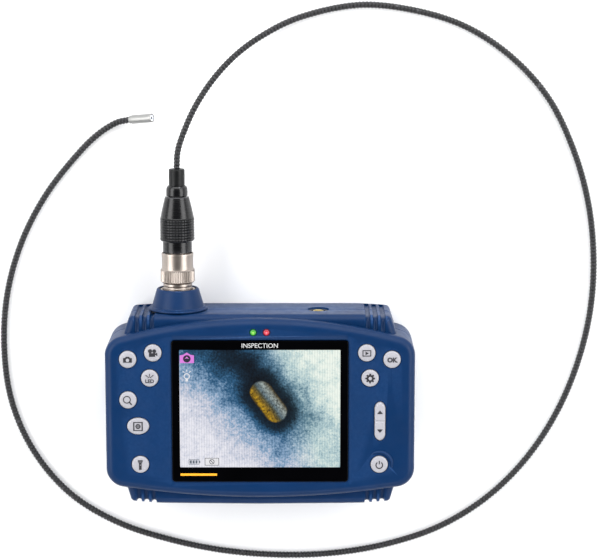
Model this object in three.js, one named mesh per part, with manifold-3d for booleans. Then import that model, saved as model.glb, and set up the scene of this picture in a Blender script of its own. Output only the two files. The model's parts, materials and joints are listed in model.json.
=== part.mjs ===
// Hand-held inspection camera (borescope) with a plug-on probe cable.
// Millimetres. The unit lies on its back: z = 0 is the back face, +Z comes out of the display,
// +X is right of the display and +Y is the end that the probe plugs into.

import * as THREE from 'three';
import { mergeVertices } from 'three/addons/utils/BufferGeometryUtils.js';
import Module from 'manifold-3d';

const wasm = await Module();
wasm.setup();

// ---------------------------------------------------------------- driving dimensions

const GAP = 0.3;                     // clearance between pieces that touch

const FACE = {                       // raised front plate, which also sets the outline of the side lobes
  halfWidth: 67.8,
  topY: 41, topRadius: 235,
  bottomY: -39.4, bottomRadius: 385,
  cornerRadius: 8.5,
};
const BLOCK = {                      // middle block that stands out past the plate at both ends
  topY: 42, topCornerY: 41.4,
  bottomY: -43.8, bottomCornerY: -42.6,
  straightHalf: 44, cornerHalf: 57.2, waistHalf: 59.9, waistY: 33,
  cornerRadius: 1.8,
};
const GRIP = { xs: [47.2, 50.5, 53.8], radius: 1.15, fromZ: 3, toZ: 40 };
const PARTING_Z = 17;
const SHOULDER_Z = 31;               // top of the middle block
const FACE_Z = 36;                   // front of the plate
const WALL = 2.2;
const FLOOR = 2.4;

const WINDOW = { width: 77, height: 63.2, thickness: 1.2, corner: 1.2, proud: 0.25 };
const DISPLAY = { opening: 72, openingHeight: 54.4, centreY: 1.2 };
const MODULE = { width: 76, height: 60, fromZ: 28.5, toZ: 32.7 };
const GASKET = { width: 75, height: 58.6, innerWidth: 72.4, innerHeight: 54.8, thickness: 0.55 };
const BOARD = { halfWidth: 63, fromY: -29, toY: 28, fromZ: 26.6, toZ: 28.2 };
const KEY_BOARD = { fromX: 42, fromZ: 28.5, toZ: 30.1 };
const KEY_MAT = { fromZ: 30.4, toZ: 31.1 };

const KEY = { radius: 3.75, clearance: 0.25, flange: 4.6, topZ: 37, flangeZ: [32.2, 33.3] };
const KEYS = [                       // name, x, y
  ['photo', -57.6, 23.3], ['video', -46.6, 26.2], ['lamp', -48.1, 15.0], ['zoom', -57.7, 5.2],
  ['torch', -52.6, -23.8], ['play', 46.6, 26.2], ['ok', 57.6, 23.3], ['setup', 48.1, 15.0],
  ['power', 52.3, -23.8],
];
const FRAME_KEY = { x: -53.4, y: -6.5, halfWidth: 4.8, halfHeight: 3.7 };
const ROCKER = {
  x: 52.5, y: -4.3, width: 5.3, length: 17.2, pivotZ: 33.2, pinRadius: 0.75, pinHalf: 4.9,
  lugX: 4.3, lugHalf: 0.7,
};
const LAMPS = { xs: [-2.9, 2.9], y: 35.2, radius: 1.45, tipRadius: 0.9, fromZ: 28.5 };

const BOSS = { x: 49, topY: 35, bottomY: -36.5, radius: 3.4, hole: 1.75 };
const SCREW = { head: 2.8, shank: 1.4, fromZ: 2.2, headHeight: 2, toZ: 27 };

const DOOR = { halfWidth: 26, fromY: -41.2, toY: -9, thickness: 1.85, lip: 1.4, lipZ: 1.05 };
const BATTERY = { halfWidth: 23.2, fromY: -37.4, toY: -12.4, fromZ: 2.7, toZ: 14.4 };

const PORT = { fromX: 66, fromY: -29.5, toY: 0.5, fromZ: 19.8, toZ: 28.8, rim: 2, nailHalf: 5 };
const USB = { fromX: 56.2, toX: 65.2, fromY: -9.8, toY: -2.2, fromZ: 22.3, toZ: 26.3 };
const CARD = { fromX: 50.4, toX: 65.2, fromY: -27, toY: -12, fromZ: 24, toZ: 26.3 };
const JACK = {
  x: 25.6, bore: 4.9, radius: 4.5, fromY: 30, toY: 41.3,
  mouth: 3.4, mouthY: 39.8, hole: 1.9, holeY: 32,
};
const BUSHING = { radius: 3.1, fromY: 40.1, toY: 41.7 };

const PLUG_X = -36.5;                // the probe's plug axis runs along Y at this x, at PARTING_Z
const WALL_BORE = { fromY: 34, toY: 44 };
const SOCKET = { radius: 6.4, bore: 5.3, fromY: 30, toY: 54, boreY: 32.6 };
const SOCKET_NUT = { radius: 8.2, fromY: 36.4, toY: 39.2 };
const SOCKET_DISC = { fromY: 33, toY: 40 };
const PINS = { count: 6, circle: 2.5, radius: 0.5, hole: 0.85, fromY: 39, toY: 46 };
const COLLAR = { fromY: 42.3, flange: 13.1, base: 11.3, top: 9.2, toY: 51.6, bore: 8.1, boreY: 49 };
const TRIM_RING = { fromY: 49.4, toY: 51.1 };
const SLEEVE = { fromY: 54.3, ringToY: 60.3, toY: 67.4, ring: 7.5, radius: 7.05, bore: 6.7 };
const SPRING = { radius: 5.75, wire: 0.3, fromY: 61.6, toY: 66.8, turns: 3.5 };
const GRIP_BODY = {
  fromY: 67.8, neck: 6.4, neckToY: 72.8, knurl: 7.55, knurlToY: 83, toY: 92.4, end: 5.4,
};
const NUT = { toY: 97.1, radius: 4.7 };
const RELIEF = { fromY: 88, toY: 104.7, radius: 3.5, bore: 1.75 };
const BARREL = { fromY: 42.8, toY: 70, radius: 4.9, bore: 4.2 };
const PLUG_INSERT = { fromY: 43.2, toY: 60 };

const CABLE = { diameter: 2.9, sides: 8, steps: 79 };
const HEAD = {
  radius: 1.95, length: 11.4, yawDegrees: 7, pitchDegrees: 24,
  recess: 1, lightsInner: 0.85, lightsOuter: 1.35, lens: 0.6,
};
const CABLE_ROUTE = [                // centre line from the strain relief to the camera head
  [-36.5, 105.0, 17.0], [-36.0, 112.0, 16.9], [-33.6, 119.8, 16.0], [-28.0, 132.0, 13.6],
  [-19.8, 144.0, 10.1], [-9.8, 154.2, 6.5], [2.0, 162.4, 3.6], [17.0, 169.5, 1.9],
  [43.2, 175.0, 1.48], [67.2, 172.8, 1.48], [90.3, 165.6, 1.48],
  [110.6, 152.4, 1.48], [127.2, 134.4, 1.48], [138.5, 112.4, 1.48], [145.8, 88.8, 1.48],
  [149.0, 64.1, 1.48], [148.2, 39.2, 1.48], [143.0, 14.6, 1.48], [133.8, -8.8, 1.48],
  [120.4, -30.2, 1.48], [102.8, -48.4, 1.48], [81.6, -62.0, 1.48], [57.8, -70.4, 1.48],
  [33.0, -74.8, 1.48], [7.7, -75.7, 1.48], [-17.4, -73.6, 1.48], [-42.2, -68.4, 1.48],
  [-66.0, -60.2, 1.48], [-87.2, -46.8, 1.48], [-103.2, -27.4, 1.48], [-113.0, -4.1, 1.48],
  [-116.0, 21.0, 1.48], [-114.0, 46.2, 1.48], [-106.8, 70.2, 1.48], [-94.9, 92.2, 1.48],
  [-79.4, 111.2, 1.5], [-73.6, 116.8, 1.5], [-68.4, 120.7, 1.72], [-63.2, 123.5, 2.6],
  [-58.0, 124.8, 4.6],
];

// ---------------------------------------------------------------- solids, joins and cuts

function toSolid(geometry) {
  const bare = geometry.clone();
  bare.deleteAttribute('normal');
  bare.deleteAttribute('uv');
  const merged = mergeVertices(bare, 1e-4);
  const vertProperties = new Float32Array(merged.attributes.position.array);
  const triVerts = new Uint32Array(merged.index.array);
  return new wasm.Manifold(new wasm.Mesh({ numProp: 3, vertProperties, triVerts }));
}

function toGeometry(solid) {
  const mesh = solid.getMesh();
  const geometry = new THREE.BufferGeometry();
  geometry.setAttribute('position', new THREE.BufferAttribute(new Float32Array(mesh.vertProperties), 3));
  geometry.setIndex(Array.from(mesh.triVerts));
  geometry.computeVertexNormals();
  return geometry;
}

const joined = (first, ...rest) => rest.reduce((solid, next) => solid.add(next), first);
const cut = (first, ...rest) => rest.reduce((solid, next) => solid.subtract(next), first);

function box(fromX, toX, fromY, toY, fromZ, toZ) {
  const geometry = new THREE.BoxGeometry(toX - fromX, toY - fromY, toZ - fromZ);
  geometry.translate((fromX + toX) / 2, (fromY + toY) / 2, (fromZ + toZ) / 2);
  return geometry;
}

function post(x, y, radius, fromZ, toZ, segments = 16) {
  const geometry = new THREE.CylinderGeometry(radius, radius, toZ - fromZ, segments);
  geometry.rotateX(Math.PI / 2);
  geometry.translate(x, y, (fromZ + toZ) / 2);
  return geometry;
}

// Turned piece: [radius, distance along the axis] pairs, with the axis along +Y through (x, z).
function turned(profile, x, z, segments = 24) {
  const points = profile.map(([radius, y]) => new THREE.Vector2(radius, y));
  const geometry = new THREE.LatheGeometry(points, segments);
  geometry.translate(x, 0, z);
  return geometry;
}

// Closed ring profile, for a turned piece with a bore right through it.
const ring = (inner, outer, fromY, toY) =>
  [[inner, fromY], [outer, fromY], [outer, toY], [inner, toY], [inner, fromY]];

// The outline's points with the doubled ones, where two arcs meet, left out.
function cleanPoints(path, curveSegments) {
  const points = path.getPoints(curveSegments);
  return points.filter((point, i) => point.distanceTo(points[(i + 1) % points.length]) > 1e-3);
}

function slab(outline, fromZ, toZ, bevel = 0, curveSegments = 4) {
  const shape = new THREE.Shape(cleanPoints(outline, curveSegments));
  shape.holes = (outline.holes ?? []).map((hole) => new THREE.Path(cleanPoints(hole, curveSegments)));
  const geometry = new THREE.ExtrudeGeometry(shape, {
    depth: toZ - fromZ - 2 * bevel,
    bevelEnabled: bevel > 0,
    bevelThickness: bevel,
    bevelSize: bevel,
    bevelOffset: -bevel,
    bevelSegments: 2,
  });
  geometry.translate(0, 0, fromZ + bevel);
  return geometry;
}

// ---------------------------------------------------------------- outlines

// Where the rounded corner meets the side and the long arc of one end of the plate.
function cornerOf(inset, top) {
  const side = FACE.halfWidth - inset;
  const radius = FACE.cornerRadius - inset;
  const longRadius = (top ? FACE.topRadius : FACE.bottomRadius) - inset;
  const longCentreY = top ? FACE.topY - FACE.topRadius : FACE.bottomY + FACE.bottomRadius;
  const x = side - radius;
  const rise = Math.sqrt((longRadius - radius) ** 2 - x ** 2);
  const angle = Math.atan2(rise, x);
  return { x, y: longCentreY + (top ? rise : -rise), radius, longRadius, longCentreY, angle };
}

function faceOutline(inset = 0) {
  const top = cornerOf(inset, true);
  const bottom = cornerOf(inset, false);
  const shape = new THREE.Shape();
  shape.absarc(0, bottom.longCentreY, bottom.longRadius, Math.PI + bottom.angle, -bottom.angle, false);
  shape.absarc(bottom.x, bottom.y, bottom.radius, -bottom.angle, 0, false);
  shape.absarc(top.x, top.y, top.radius, 0, top.angle, false);
  shape.absarc(0, top.longCentreY, top.longRadius, top.angle, Math.PI - top.angle, false);
  shape.absarc(-top.x, top.y, top.radius, Math.PI - top.angle, Math.PI, false);
  shape.absarc(-bottom.x, bottom.y, bottom.radius, Math.PI, Math.PI + bottom.angle, false);
  return shape;
}

function blockOutline(inset = 0) {
  const r = Math.max(BLOCK.cornerRadius - inset, 0.3);
  const corner = BLOCK.cornerHalf - inset;
  const waist = BLOCK.waistHalf - inset;
  const bottomY = BLOCK.bottomCornerY + inset;
  const topY = BLOCK.topCornerY - inset;
  const right = [
    [0, BLOCK.bottomY + inset], [BLOCK.straightHalf, BLOCK.bottomY + 0.4 + inset],
    [corner - r, bottomY], [corner, bottomY + r], [waist, -BLOCK.waistY],
    [waist, BLOCK.waistY], [corner, topY - r], [corner - r, topY],
    [BLOCK.straightHalf, BLOCK.topY - inset],
  ];
  const left = right.slice(1).reverse().map(([x, y]) => [-x, y]);
  return new THREE.Shape([...right, ...left].map(([x, y]) => new THREE.Vector2(x, y)));
}

function roundedRectangle(width, height, corner, x = 0, y = 0) {
  const w = width / 2 - corner;
  const h = height / 2 - corner;
  const shape = new THREE.Shape();
  shape.absarc(x + w, y - h, corner, -Math.PI / 2, 0, false);
  shape.absarc(x + w, y + h, corner, 0, Math.PI / 2, false);
  shape.absarc(x - w, y + h, corner, Math.PI / 2, Math.PI, false);
  shape.absarc(x - w, y - h, corner, Math.PI, 1.5 * Math.PI, false);
  return shape;
}

function stadium(width, length, x = 0, y = 0) {
  const straight = (length - width) / 2;
  const shape = new THREE.Shape();
  shape.absarc(x, y + straight, width / 2, 0, Math.PI, false);
  shape.absarc(x, y - straight, width / 2, Math.PI, 2 * Math.PI, false);
  return shape;
}

function ellipse(x, y, halfWidth, halfHeight) {
  const shape = new THREE.Shape();
  shape.absellipse(x, y, halfWidth, halfHeight, 0, 2 * Math.PI, false, 0);
  return shape;
}

// Plate and block together, from one height to another, with both ends rounded over.
function bodySolid(inset, fromZ, toZ, bevel) {
  return joined(
    toSolid(slab(faceOutline(inset), fromZ, toZ, bevel)),
    toSolid(slab(blockOutline(inset), fromZ, toZ, bevel)),
  );
}

const everywhere = (fromZ, toZ) => toSolid(box(-100, 100, -100, 100, fromZ, toZ));

function gripCuts() {
  const cuts = [];
  for (const x of GRIP.xs) {
    for (const side of [-1, 1]) {
      cuts.push(toSolid(post(side * x, BLOCK.topY, GRIP.radius, GRIP.fromZ, GRIP.toZ, 8)));
      cuts.push(toSolid(post(side * x, BLOCK.bottomY + 0.6, GRIP.radius, GRIP.fromZ, GRIP.toZ, 8)));
    }
  }
  return cuts;
}

const bossPlaces = [-1, 1].flatMap((side) => [
  [side * BOSS.x, BOSS.topY], [side * BOSS.x, BOSS.bottomY],
]);

// Bores in the +Y wall for the probe socket and the charging jack.
const wallBores = () => [[SOCKET.radius + GAP, PLUG_X], [JACK.bore, JACK.x]].map(([radius, x]) => {
  const profile = [
    [0, WALL_BORE.fromY], [radius, WALL_BORE.fromY], [radius, WALL_BORE.toY], [0, WALL_BORE.toY],
  ];
  return toSolid(turned(profile, x, PARTING_Z));
});

// ---------------------------------------------------------------- casing

function frontShell() {
  const block = bodySolid(0, PARTING_Z - 6, SHOULDER_Z, 1.6)
    .intersect(everywhere(PARTING_Z + GAP / 2, FACE_Z + 10));
  const plate = toSolid(slab(faceOutline(), 20, FACE_Z, 1.8));
  const bosses = bossPlaces.map(([x, y]) =>
    toSolid(post(x, y, BOSS.radius, PARTING_Z + GAP, SHOULDER_Z - 0.8)));
  const bossHoles = bossPlaces.map(([x, y]) => toSolid(post(x, y, BOSS.hole, 10, SCREW.toZ + 1, 12)));
  const lowCavity = bodySolid(WALL, 10, SHOULDER_Z - WALL, 0);
  const highCavity = toSolid(slab(faceOutline(WALL + 0.6), 20, FACE_Z - WALL));
  const lugs = [-1, 1].map((side) => {
    const x = ROCKER.x + side * ROCKER.lugX;
    return toSolid(box(x - ROCKER.lugHalf, x + ROCKER.lugHalf, ROCKER.y - 1.8, ROCKER.y + 1.8,
      ROCKER.pivotZ - 1.6, FACE_Z - 1));
  });
  const pinHole = post(0, 0, ROCKER.pinRadius + 0.15, -6, 6, 12);
  pinHole.rotateY(Math.PI / 2);
  pinHole.translate(ROCKER.x, ROCKER.y, ROCKER.pivotZ);
  const keyHoles = KEYS.map(([, x, y]) =>
    toSolid(post(x, y, KEY.radius + KEY.clearance + 0.05, 30, 40, 16)));
  const frameHole = ellipse(FRAME_KEY.x, FRAME_KEY.y,
    FRAME_KEY.halfWidth + KEY.clearance, FRAME_KEY.halfHeight + KEY.clearance);
  const rockerHole = stadium(ROCKER.width + 0.6, ROCKER.length + 0.6, ROCKER.x, ROCKER.y);
  const openings = [
    toSolid(slab(frameHole, 30, 40, 0, 10)),
    toSolid(slab(rockerHole, 30, 40)),
    ...LAMPS.xs.map((x) => toSolid(post(x, LAMPS.y, LAMPS.radius + 0.2, 30, 40, 12))),
    toSolid(slab(roundedRectangle(WINDOW.width + 0.6, WINDOW.height + 0.6, WINDOW.corner),
      FACE_Z - WINDOW.thickness, 40)),
    toSolid(box(-DISPLAY.opening / 2, DISPLAY.opening / 2, DISPLAY.centreY - DISPLAY.openingHeight / 2,
      DISPLAY.centreY + DISPLAY.openingHeight / 2, 30, 40)),
    toSolid(box(PORT.fromX, 70, PORT.fromY, PORT.toY, PORT.fromZ, PORT.toZ)),
    toSolid(box(60, 70, PORT.fromY + PORT.rim, PORT.toY - PORT.rim,
      PORT.fromZ + PORT.rim, PORT.toZ - PORT.rim)),
  ];
  const hollow = cut(joined(block, plate), lowCavity, highCavity);
  return cut(joined(hollow, ...bosses, ...lugs), toSolid(pinHole), ...bossHoles, ...keyHoles, ...openings,
    ...gripCuts(), ...wallBores());
}

function rearShell() {
  const block = bodySolid(0, 0, PARTING_Z + 8, 3).intersect(everywhere(-1, PARTING_Z - GAP / 2));
  const cavity = bodySolid(WALL, FLOOR, 30, 0);
  const bosses = bossPlaces.map(([x, y]) =>
    toSolid(post(x, y, BOSS.radius + 0.4, 1, PARTING_Z - GAP / 2)));
  const bossHoles = bossPlaces.flatMap(([x, y]) => [
    toSolid(post(x, y, BOSS.hole, -1, 20, 12)),
    toSolid(post(x, y, SCREW.head + 0.4, -1, SCREW.fromZ + SCREW.headHeight + GAP)),
  ]);
  const wall = 1.5;
  const bay = cut(
    toSolid(box(-BATTERY.halfWidth - 0.4 - wall, BATTERY.halfWidth + 0.4 + wall,
      BATTERY.fromY - 0.4 - wall, BATTERY.toY + 0.4 + wall, 1, 15)),
    toSolid(box(-BATTERY.halfWidth - 0.4, BATTERY.halfWidth + 0.4,
      BATTERY.fromY - 0.4, BATTERY.toY + 0.4, 0, 20)),
  );
  const bayMouth = box(-BATTERY.halfWidth - 0.4, BATTERY.halfWidth + 0.4,
    BATTERY.fromY - 0.4, BATTERY.toY + 0.4, -1, 10);
  const slotTop = DOOR.thickness + 0.25;
  const slotHalf = DOOR.halfWidth + GAP;
  const slotEnd = DOOR.toY + GAP;
  const doorSlot = joined(
    toSolid(box(-slotHalf, slotHalf, -50, slotEnd, -1, slotTop)),
    toSolid(box(-slotHalf - DOOR.lip, slotHalf + DOOR.lip, -50, slotEnd, DOOR.lipZ - GAP, slotTop)),
  );
  const floorPad = toSolid(box(-30, 30, -42, -7, 1.5, 3.3)).intersect(bodySolid(1, 0.5, 20, 0));
  const hollow = cut(block, cavity);
  return cut(joined(hollow, ...bosses, floorPad, bay), toSolid(bayMouth), doorSlot, ...bossHoles,
    ...gripCuts(), ...wallBores());
}

function batteryDoor() {
  const plate = box(-DOOR.halfWidth, DOOR.halfWidth, DOOR.fromY, DOOR.toY, 0.02, DOOR.thickness);
  const lips = box(-DOOR.halfWidth - DOOR.lip, DOOR.halfWidth + DOOR.lip, DOOR.fromY + 1.5, DOOR.toY,
    DOOR.lipZ, DOOR.thickness);
  const grips = [-1, 0, 1].map((i) => toSolid(box(-9, 9, -33.5 + 2 * i, -32.6 + 2 * i, -1, 0.55)));
  return cut(joined(toSolid(plate), toSolid(lips)), ...grips);
}

function portCover() {
  const flap = box(PORT.fromX + GAP / 2, FACE.halfWidth - 0.1, PORT.fromY + GAP, PORT.toY - GAP,
    PORT.fromZ + GAP, PORT.toZ - GAP);
  const nailY = (PORT.fromY + PORT.toY) / 2;
  const nail = box(FACE.halfWidth - 0.6, 70, nailY - PORT.nailHalf, nailY + PORT.nailHalf,
    PORT.toZ - 1.6, PORT.toZ);
  return cut(toSolid(flap), toSolid(nail));
}

// ---------------------------------------------------------------- display and boards

function displayGasket() {
  const shape = roundedRectangle(GASKET.width, GASKET.height, 0.5);
  const inner = roundedRectangle(GASKET.innerWidth, GASKET.innerHeight, 0.3, 0, DISPLAY.centreY);
  shape.holes.push(new THREE.Path(inner.getPoints(1)));
  const fromZ = MODULE.toZ + 0.25;
  return slab(shape, fromZ, fromZ + GASKET.thickness, 0, 1);
}

function keyBoard(side, fromZ, toZ) {
  const xs = [side * KEY_BOARD.fromX, side * BOARD.halfWidth];
  return box(Math.min(...xs), Math.max(...xs), BOARD.fromY, BOARD.toY, fromZ, toZ);
}

// ---------------------------------------------------------------- keys

const keyProfile = [
  [0, KEY.flangeZ[0]], [KEY.flange, KEY.flangeZ[0]], [KEY.flange, KEY.flangeZ[1]],
  [KEY.radius, KEY.flangeZ[1]], [KEY.radius, KEY.topZ - 0.45], [KEY.radius - 0.5, KEY.topZ - 0.1],
  [0, KEY.topZ],
];

function roundKey() {
  const geometry = turned(keyProfile, 0, 0, 16);
  geometry.rotateX(Math.PI / 2);
  return geometry;
}

function frameKey() {
  const { halfWidth, halfHeight } = FRAME_KEY;
  const cap = slab(ellipse(0, 0, halfWidth, halfHeight), KEY.flangeZ[0], KEY.topZ, 0.4, 10);
  const flange = slab(ellipse(0, 0, halfWidth + 0.8, halfHeight + 0.8),
    KEY.flangeZ[0], KEY.flangeZ[1], 0, 10);
  return joined(toSolid(cap), toSolid(flange));
}

function rocker() {
  const cap = slab(stadium(ROCKER.width, ROCKER.length), ROCKER.pivotZ - 1.1, KEY.topZ, 0.5);
  const bore = post(0, 0, ROCKER.pinRadius + 0.12, -6, 6, 12);
  bore.rotateY(Math.PI / 2);
  bore.translate(0, 0, ROCKER.pivotZ);
  return cut(toSolid(cap), toSolid(bore));
}

// ---------------------------------------------------------------- probe socket and plug

const pinPlaces = Array.from({ length: PINS.count }, (_, i) => {
  const angle = (2 * Math.PI * i) / PINS.count;
  return [PINS.circle * Math.cos(angle), PINS.circle * Math.sin(angle)];
});

const rod = (x, z, radius, fromY, toY, segments = 8) =>
  turned([[0, fromY], [radius, fromY], [radius, toY], [0, toY]], PLUG_X + x, PARTING_Z + z, segments);

function socketInsert() {
  const disc = toSolid(rod(0, 0, SOCKET.bore - GAP, SOCKET_DISC.fromY, SOCKET_DISC.toY, 20));
  return joined(disc, ...pinPlaces.map(([x, z]) => toSolid(rod(x, z, PINS.radius, PINS.fromY, PINS.toY))));
}

function socketNut() {
  const hexagon = rod(0, 0, SOCKET_NUT.radius, SOCKET_NUT.fromY, SOCKET_NUT.toY, 6);
  const bore = rod(0, 0, SOCKET.radius + GAP, SOCKET_NUT.fromY - 1, SOCKET_NUT.toY + 1, 20);
  return cut(toSolid(hexagon), toSolid(bore));
}

function plugInsert() {
  const core = toSolid(rod(0, 0, BARREL.bore - GAP, PLUG_INSERT.fromY, PLUG_INSERT.toY, 20));
  return cut(core, ...pinPlaces.map(([x, z]) => toSolid(rod(x, z, PINS.hole, 42, PINS.toY + 1))));
}

const socketShellProfile = [
  [0, SOCKET.fromY], [SOCKET.radius, SOCKET.fromY], [SOCKET.radius, SOCKET.toY],
  [SOCKET.bore, SOCKET.toY], [SOCKET.bore, SOCKET.boreY], [0, SOCKET.boreY],
];
const collarProfile = [
  [SOCKET.radius + GAP, COLLAR.fromY], [COLLAR.flange - 0.3, COLLAR.fromY],
  [COLLAR.flange, COLLAR.fromY + 0.4],
  [COLLAR.flange - 0.4, COLLAR.fromY + 0.9], [COLLAR.base, COLLAR.fromY + 1.1],
  [COLLAR.top, COLLAR.toY - 0.3], [COLLAR.top - 0.3, COLLAR.toY], [COLLAR.bore, COLLAR.toY],
  [COLLAR.bore, COLLAR.boreY], [SOCKET.radius + GAP, COLLAR.boreY],
  [SOCKET.radius + GAP, COLLAR.fromY],
];
const sleeveProfile = [
  [BARREL.radius + 0.7, SLEEVE.fromY], [SLEEVE.ring - 0.5, SLEEVE.fromY],
  [SLEEVE.ring, SLEEVE.fromY + 0.6],
  [SLEEVE.ring, SLEEVE.ringToY - 0.5], [SLEEVE.radius, SLEEVE.ringToY], [SLEEVE.radius, SLEEVE.toY],
  [SLEEVE.bore, SLEEVE.toY], [SLEEVE.bore, SLEEVE.fromY + 1.6],
  [BARREL.radius + 0.7, SLEEVE.fromY + 1.6], [BARREL.radius + 0.7, SLEEVE.fromY],
];
const gripBodyProfile = [
  [BARREL.radius + GAP, GRIP_BODY.fromY], [GRIP_BODY.neck, GRIP_BODY.fromY],
  [GRIP_BODY.neck, GRIP_BODY.neckToY], [GRIP_BODY.knurl - 0.6, GRIP_BODY.neckToY],
  [GRIP_BODY.knurl, GRIP_BODY.neckToY + 0.6], [GRIP_BODY.knurl, GRIP_BODY.knurlToY],
  [GRIP_BODY.end + 0.6, GRIP_BODY.toY - 0.3], [GRIP_BODY.end, GRIP_BODY.toY],
  [RELIEF.radius + GAP, GRIP_BODY.toY], [RELIEF.radius + GAP, BARREL.toY + GAP],
  [BARREL.radius + GAP, BARREL.toY + GAP], [BARREL.radius + GAP, GRIP_BODY.fromY],
];
const nutProfile = [
  [RELIEF.radius + GAP, GRIP_BODY.toY + GAP], [NUT.radius - 0.2, GRIP_BODY.toY + GAP],
  [NUT.radius, GRIP_BODY.toY + 0.6], [NUT.radius, NUT.toY - 0.5], [NUT.radius - 0.5, NUT.toY],
  [RELIEF.radius + GAP, NUT.toY], [RELIEF.radius + GAP, GRIP_BODY.toY + GAP],
];

class Helix extends THREE.Curve {
  constructor(radius, fromY, toY, turns) {
    super();
    Object.assign(this, { radius, fromY, toY, turns });
  }

  getPoint(t, target = new THREE.Vector3()) {
    const angle = 2 * Math.PI * this.turns * t;
    const y = this.fromY + (this.toY - this.fromY) * t;
    return target.set(this.radius * Math.cos(angle), y, this.radius * Math.sin(angle));
  }
}

function polygon(radius, sides) {
  const points = [];
  for (let i = 0; i < sides; i += 1) {
    const angle = (2 * Math.PI * i) / sides;
    points.push(new THREE.Vector2(radius * Math.cos(angle), radius * Math.sin(angle)));
  }
  return new THREE.Shape(points);
}

function sleeveSpring() {
  const path = new Helix(SPRING.radius, SPRING.fromY, SPRING.toY, SPRING.turns);
  const geometry = new THREE.ExtrudeGeometry(polygon(SPRING.wire, 5),
    { steps: 40, extrudePath: path, bevelEnabled: false });
  geometry.translate(PLUG_X, 0, PARTING_Z);
  return geometry;
}

// ---------------------------------------------------------------- cable and camera head

function probeCable() {
  const path = new THREE.CatmullRomCurve3(CABLE_ROUTE.map(([x, y, z]) => new THREE.Vector3(x, y, z)));
  path.arcLengthDivisions = 2000;
  return new THREE.ExtrudeGeometry(polygon(CABLE.diameter / 2, CABLE.sides),
    { steps: CABLE.steps, extrudePath: path, bevelEnabled: false });
}

// The head's pieces are turned about +Y from the cable's end, then laid along the head's direction.
function headPiece(profile, segments = 20) {
  const points = profile.map(([radius, y]) => new THREE.Vector2(radius, y));
  const geometry = new THREE.LatheGeometry(points, segments);
  const yaw = THREE.MathUtils.degToRad(HEAD.yawDegrees);
  const pitch = THREE.MathUtils.degToRad(HEAD.pitchDegrees);
  geometry.rotateX(pitch);
  geometry.rotateZ(yaw - Math.PI / 2);
  const direction = new THREE.Vector3(
    Math.cos(yaw) * Math.cos(pitch), Math.sin(yaw) * Math.cos(pitch), Math.sin(pitch));
  const [x, y, z] = CABLE_ROUTE[CABLE_ROUTE.length - 1];
  geometry.translate(x + GAP * direction.x, y + GAP * direction.y, z + GAP * direction.z);
  return geometry;
}

const headProfile = [
  [0, 0], [HEAD.radius - 0.3, 0], [HEAD.radius, 0.3], [HEAD.radius, HEAD.length - 0.2],
  [HEAD.radius - 0.2, HEAD.length], [HEAD.radius - 0.35, HEAD.length],
  [HEAD.radius - 0.35, HEAD.length - HEAD.recess], [0, HEAD.length - HEAD.recess],
];
const opticsFromY = HEAD.length - 0.75;
const opticsToY = HEAD.length - 0.2;
const lightRing = ring(HEAD.lightsInner, HEAD.lightsOuter, opticsFromY, opticsToY);
const lensProfile = [
  [0, opticsFromY], [HEAD.lens, opticsFromY], [HEAD.lens, opticsToY - 0.1], [0, opticsToY],
];

// ---------------------------------------------------------------- materials

function finish(color, roughness, metalness = 0) {
  return new THREE.MeshStandardMaterial({ color, roughness, metalness });
}

const navyPlastic = finish(0x173c72, 0.45);
const keyPlastic = finish(0xdedbe0, 0.4);
const blackPlastic = finish(0x18191b, 0.5);
const blackMetal = finish(0x1a1b1d, 0.35, 0.7);
const nickel = finish(0xcfc8c2, 0.3, 1);
const steel = finish(0xb8babd, 0.35, 1);
const brass = finish(0xc9a54a, 0.35, 1);
const rubber = finish(0x1b2433, 0.85);
const silicone = finish(0x8b929c, 0.8);
const circuit = finish(0x1f6b3a, 0.6);
const displayGlass = finish(0x050607, 0.08);
const displayPanel = finish(0xbfd3e2, 0.4);
const cell = finish(0x3a3f46, 0.6);
const cableBlack = finish(0x151515, 0.6);
const green = finish(0x7ee02c, 0.3);
const red = finish(0xe8303a, 0.3);
const white = finish(0xf2f2ee, 0.5);

// ---------------------------------------------------------------- assembly

const camera = new THREE.Group();

function place(name, geometry, material, x = 0, y = 0, z = 0, parent = camera) {
  const shape = geometry instanceof THREE.BufferGeometry ? geometry : toGeometry(geometry);
  const mesh = new THREE.Mesh(shape, material);
  mesh.name = name;
  mesh.position.set(x, y, z);
  parent.add(mesh);
}

place('front_shell', frontShell(), navyPlastic);
place('rear_shell', rearShell(), navyPlastic);
place('battery_door', batteryDoor(), navyPlastic);
place('battery_pack', box(-BATTERY.halfWidth, BATTERY.halfWidth, BATTERY.fromY, BATTERY.toY,
  BATTERY.fromZ, BATTERY.toZ), cell);
place('port_cover', portCover(), rubber);

place('display_window', slab(roundedRectangle(WINDOW.width, WINDOW.height, WINDOW.corner),
  FACE_Z - WINDOW.thickness + GAP, FACE_Z + WINDOW.proud), displayGlass);
place('display_gasket', displayGasket(), rubber);
place('display_module', box(-MODULE.width / 2, MODULE.width / 2, -MODULE.height / 2, MODULE.height / 2,
  MODULE.fromZ, MODULE.toZ), displayPanel);
place('main_board', box(-BOARD.halfWidth, BOARD.halfWidth, BOARD.fromY, BOARD.toY,
  BOARD.fromZ, BOARD.toZ), circuit);
place('key_board_left', keyBoard(-1, KEY_BOARD.fromZ, KEY_BOARD.toZ), circuit);
place('key_board_right', keyBoard(1, KEY_BOARD.fromZ, KEY_BOARD.toZ), circuit);
place('key_mat_left', keyBoard(-1, KEY_MAT.fromZ, KEY_MAT.toZ), silicone);
place('key_mat_right', keyBoard(1, KEY_MAT.fromZ, KEY_MAT.toZ), silicone);
place('usb_port', box(USB.fromX, USB.toX, USB.fromY, USB.toY, USB.fromZ, USB.toZ), steel);
place('card_slot', box(CARD.fromX, CARD.toX, CARD.fromY, CARD.toY, CARD.fromZ, CARD.toZ), steel);

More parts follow.
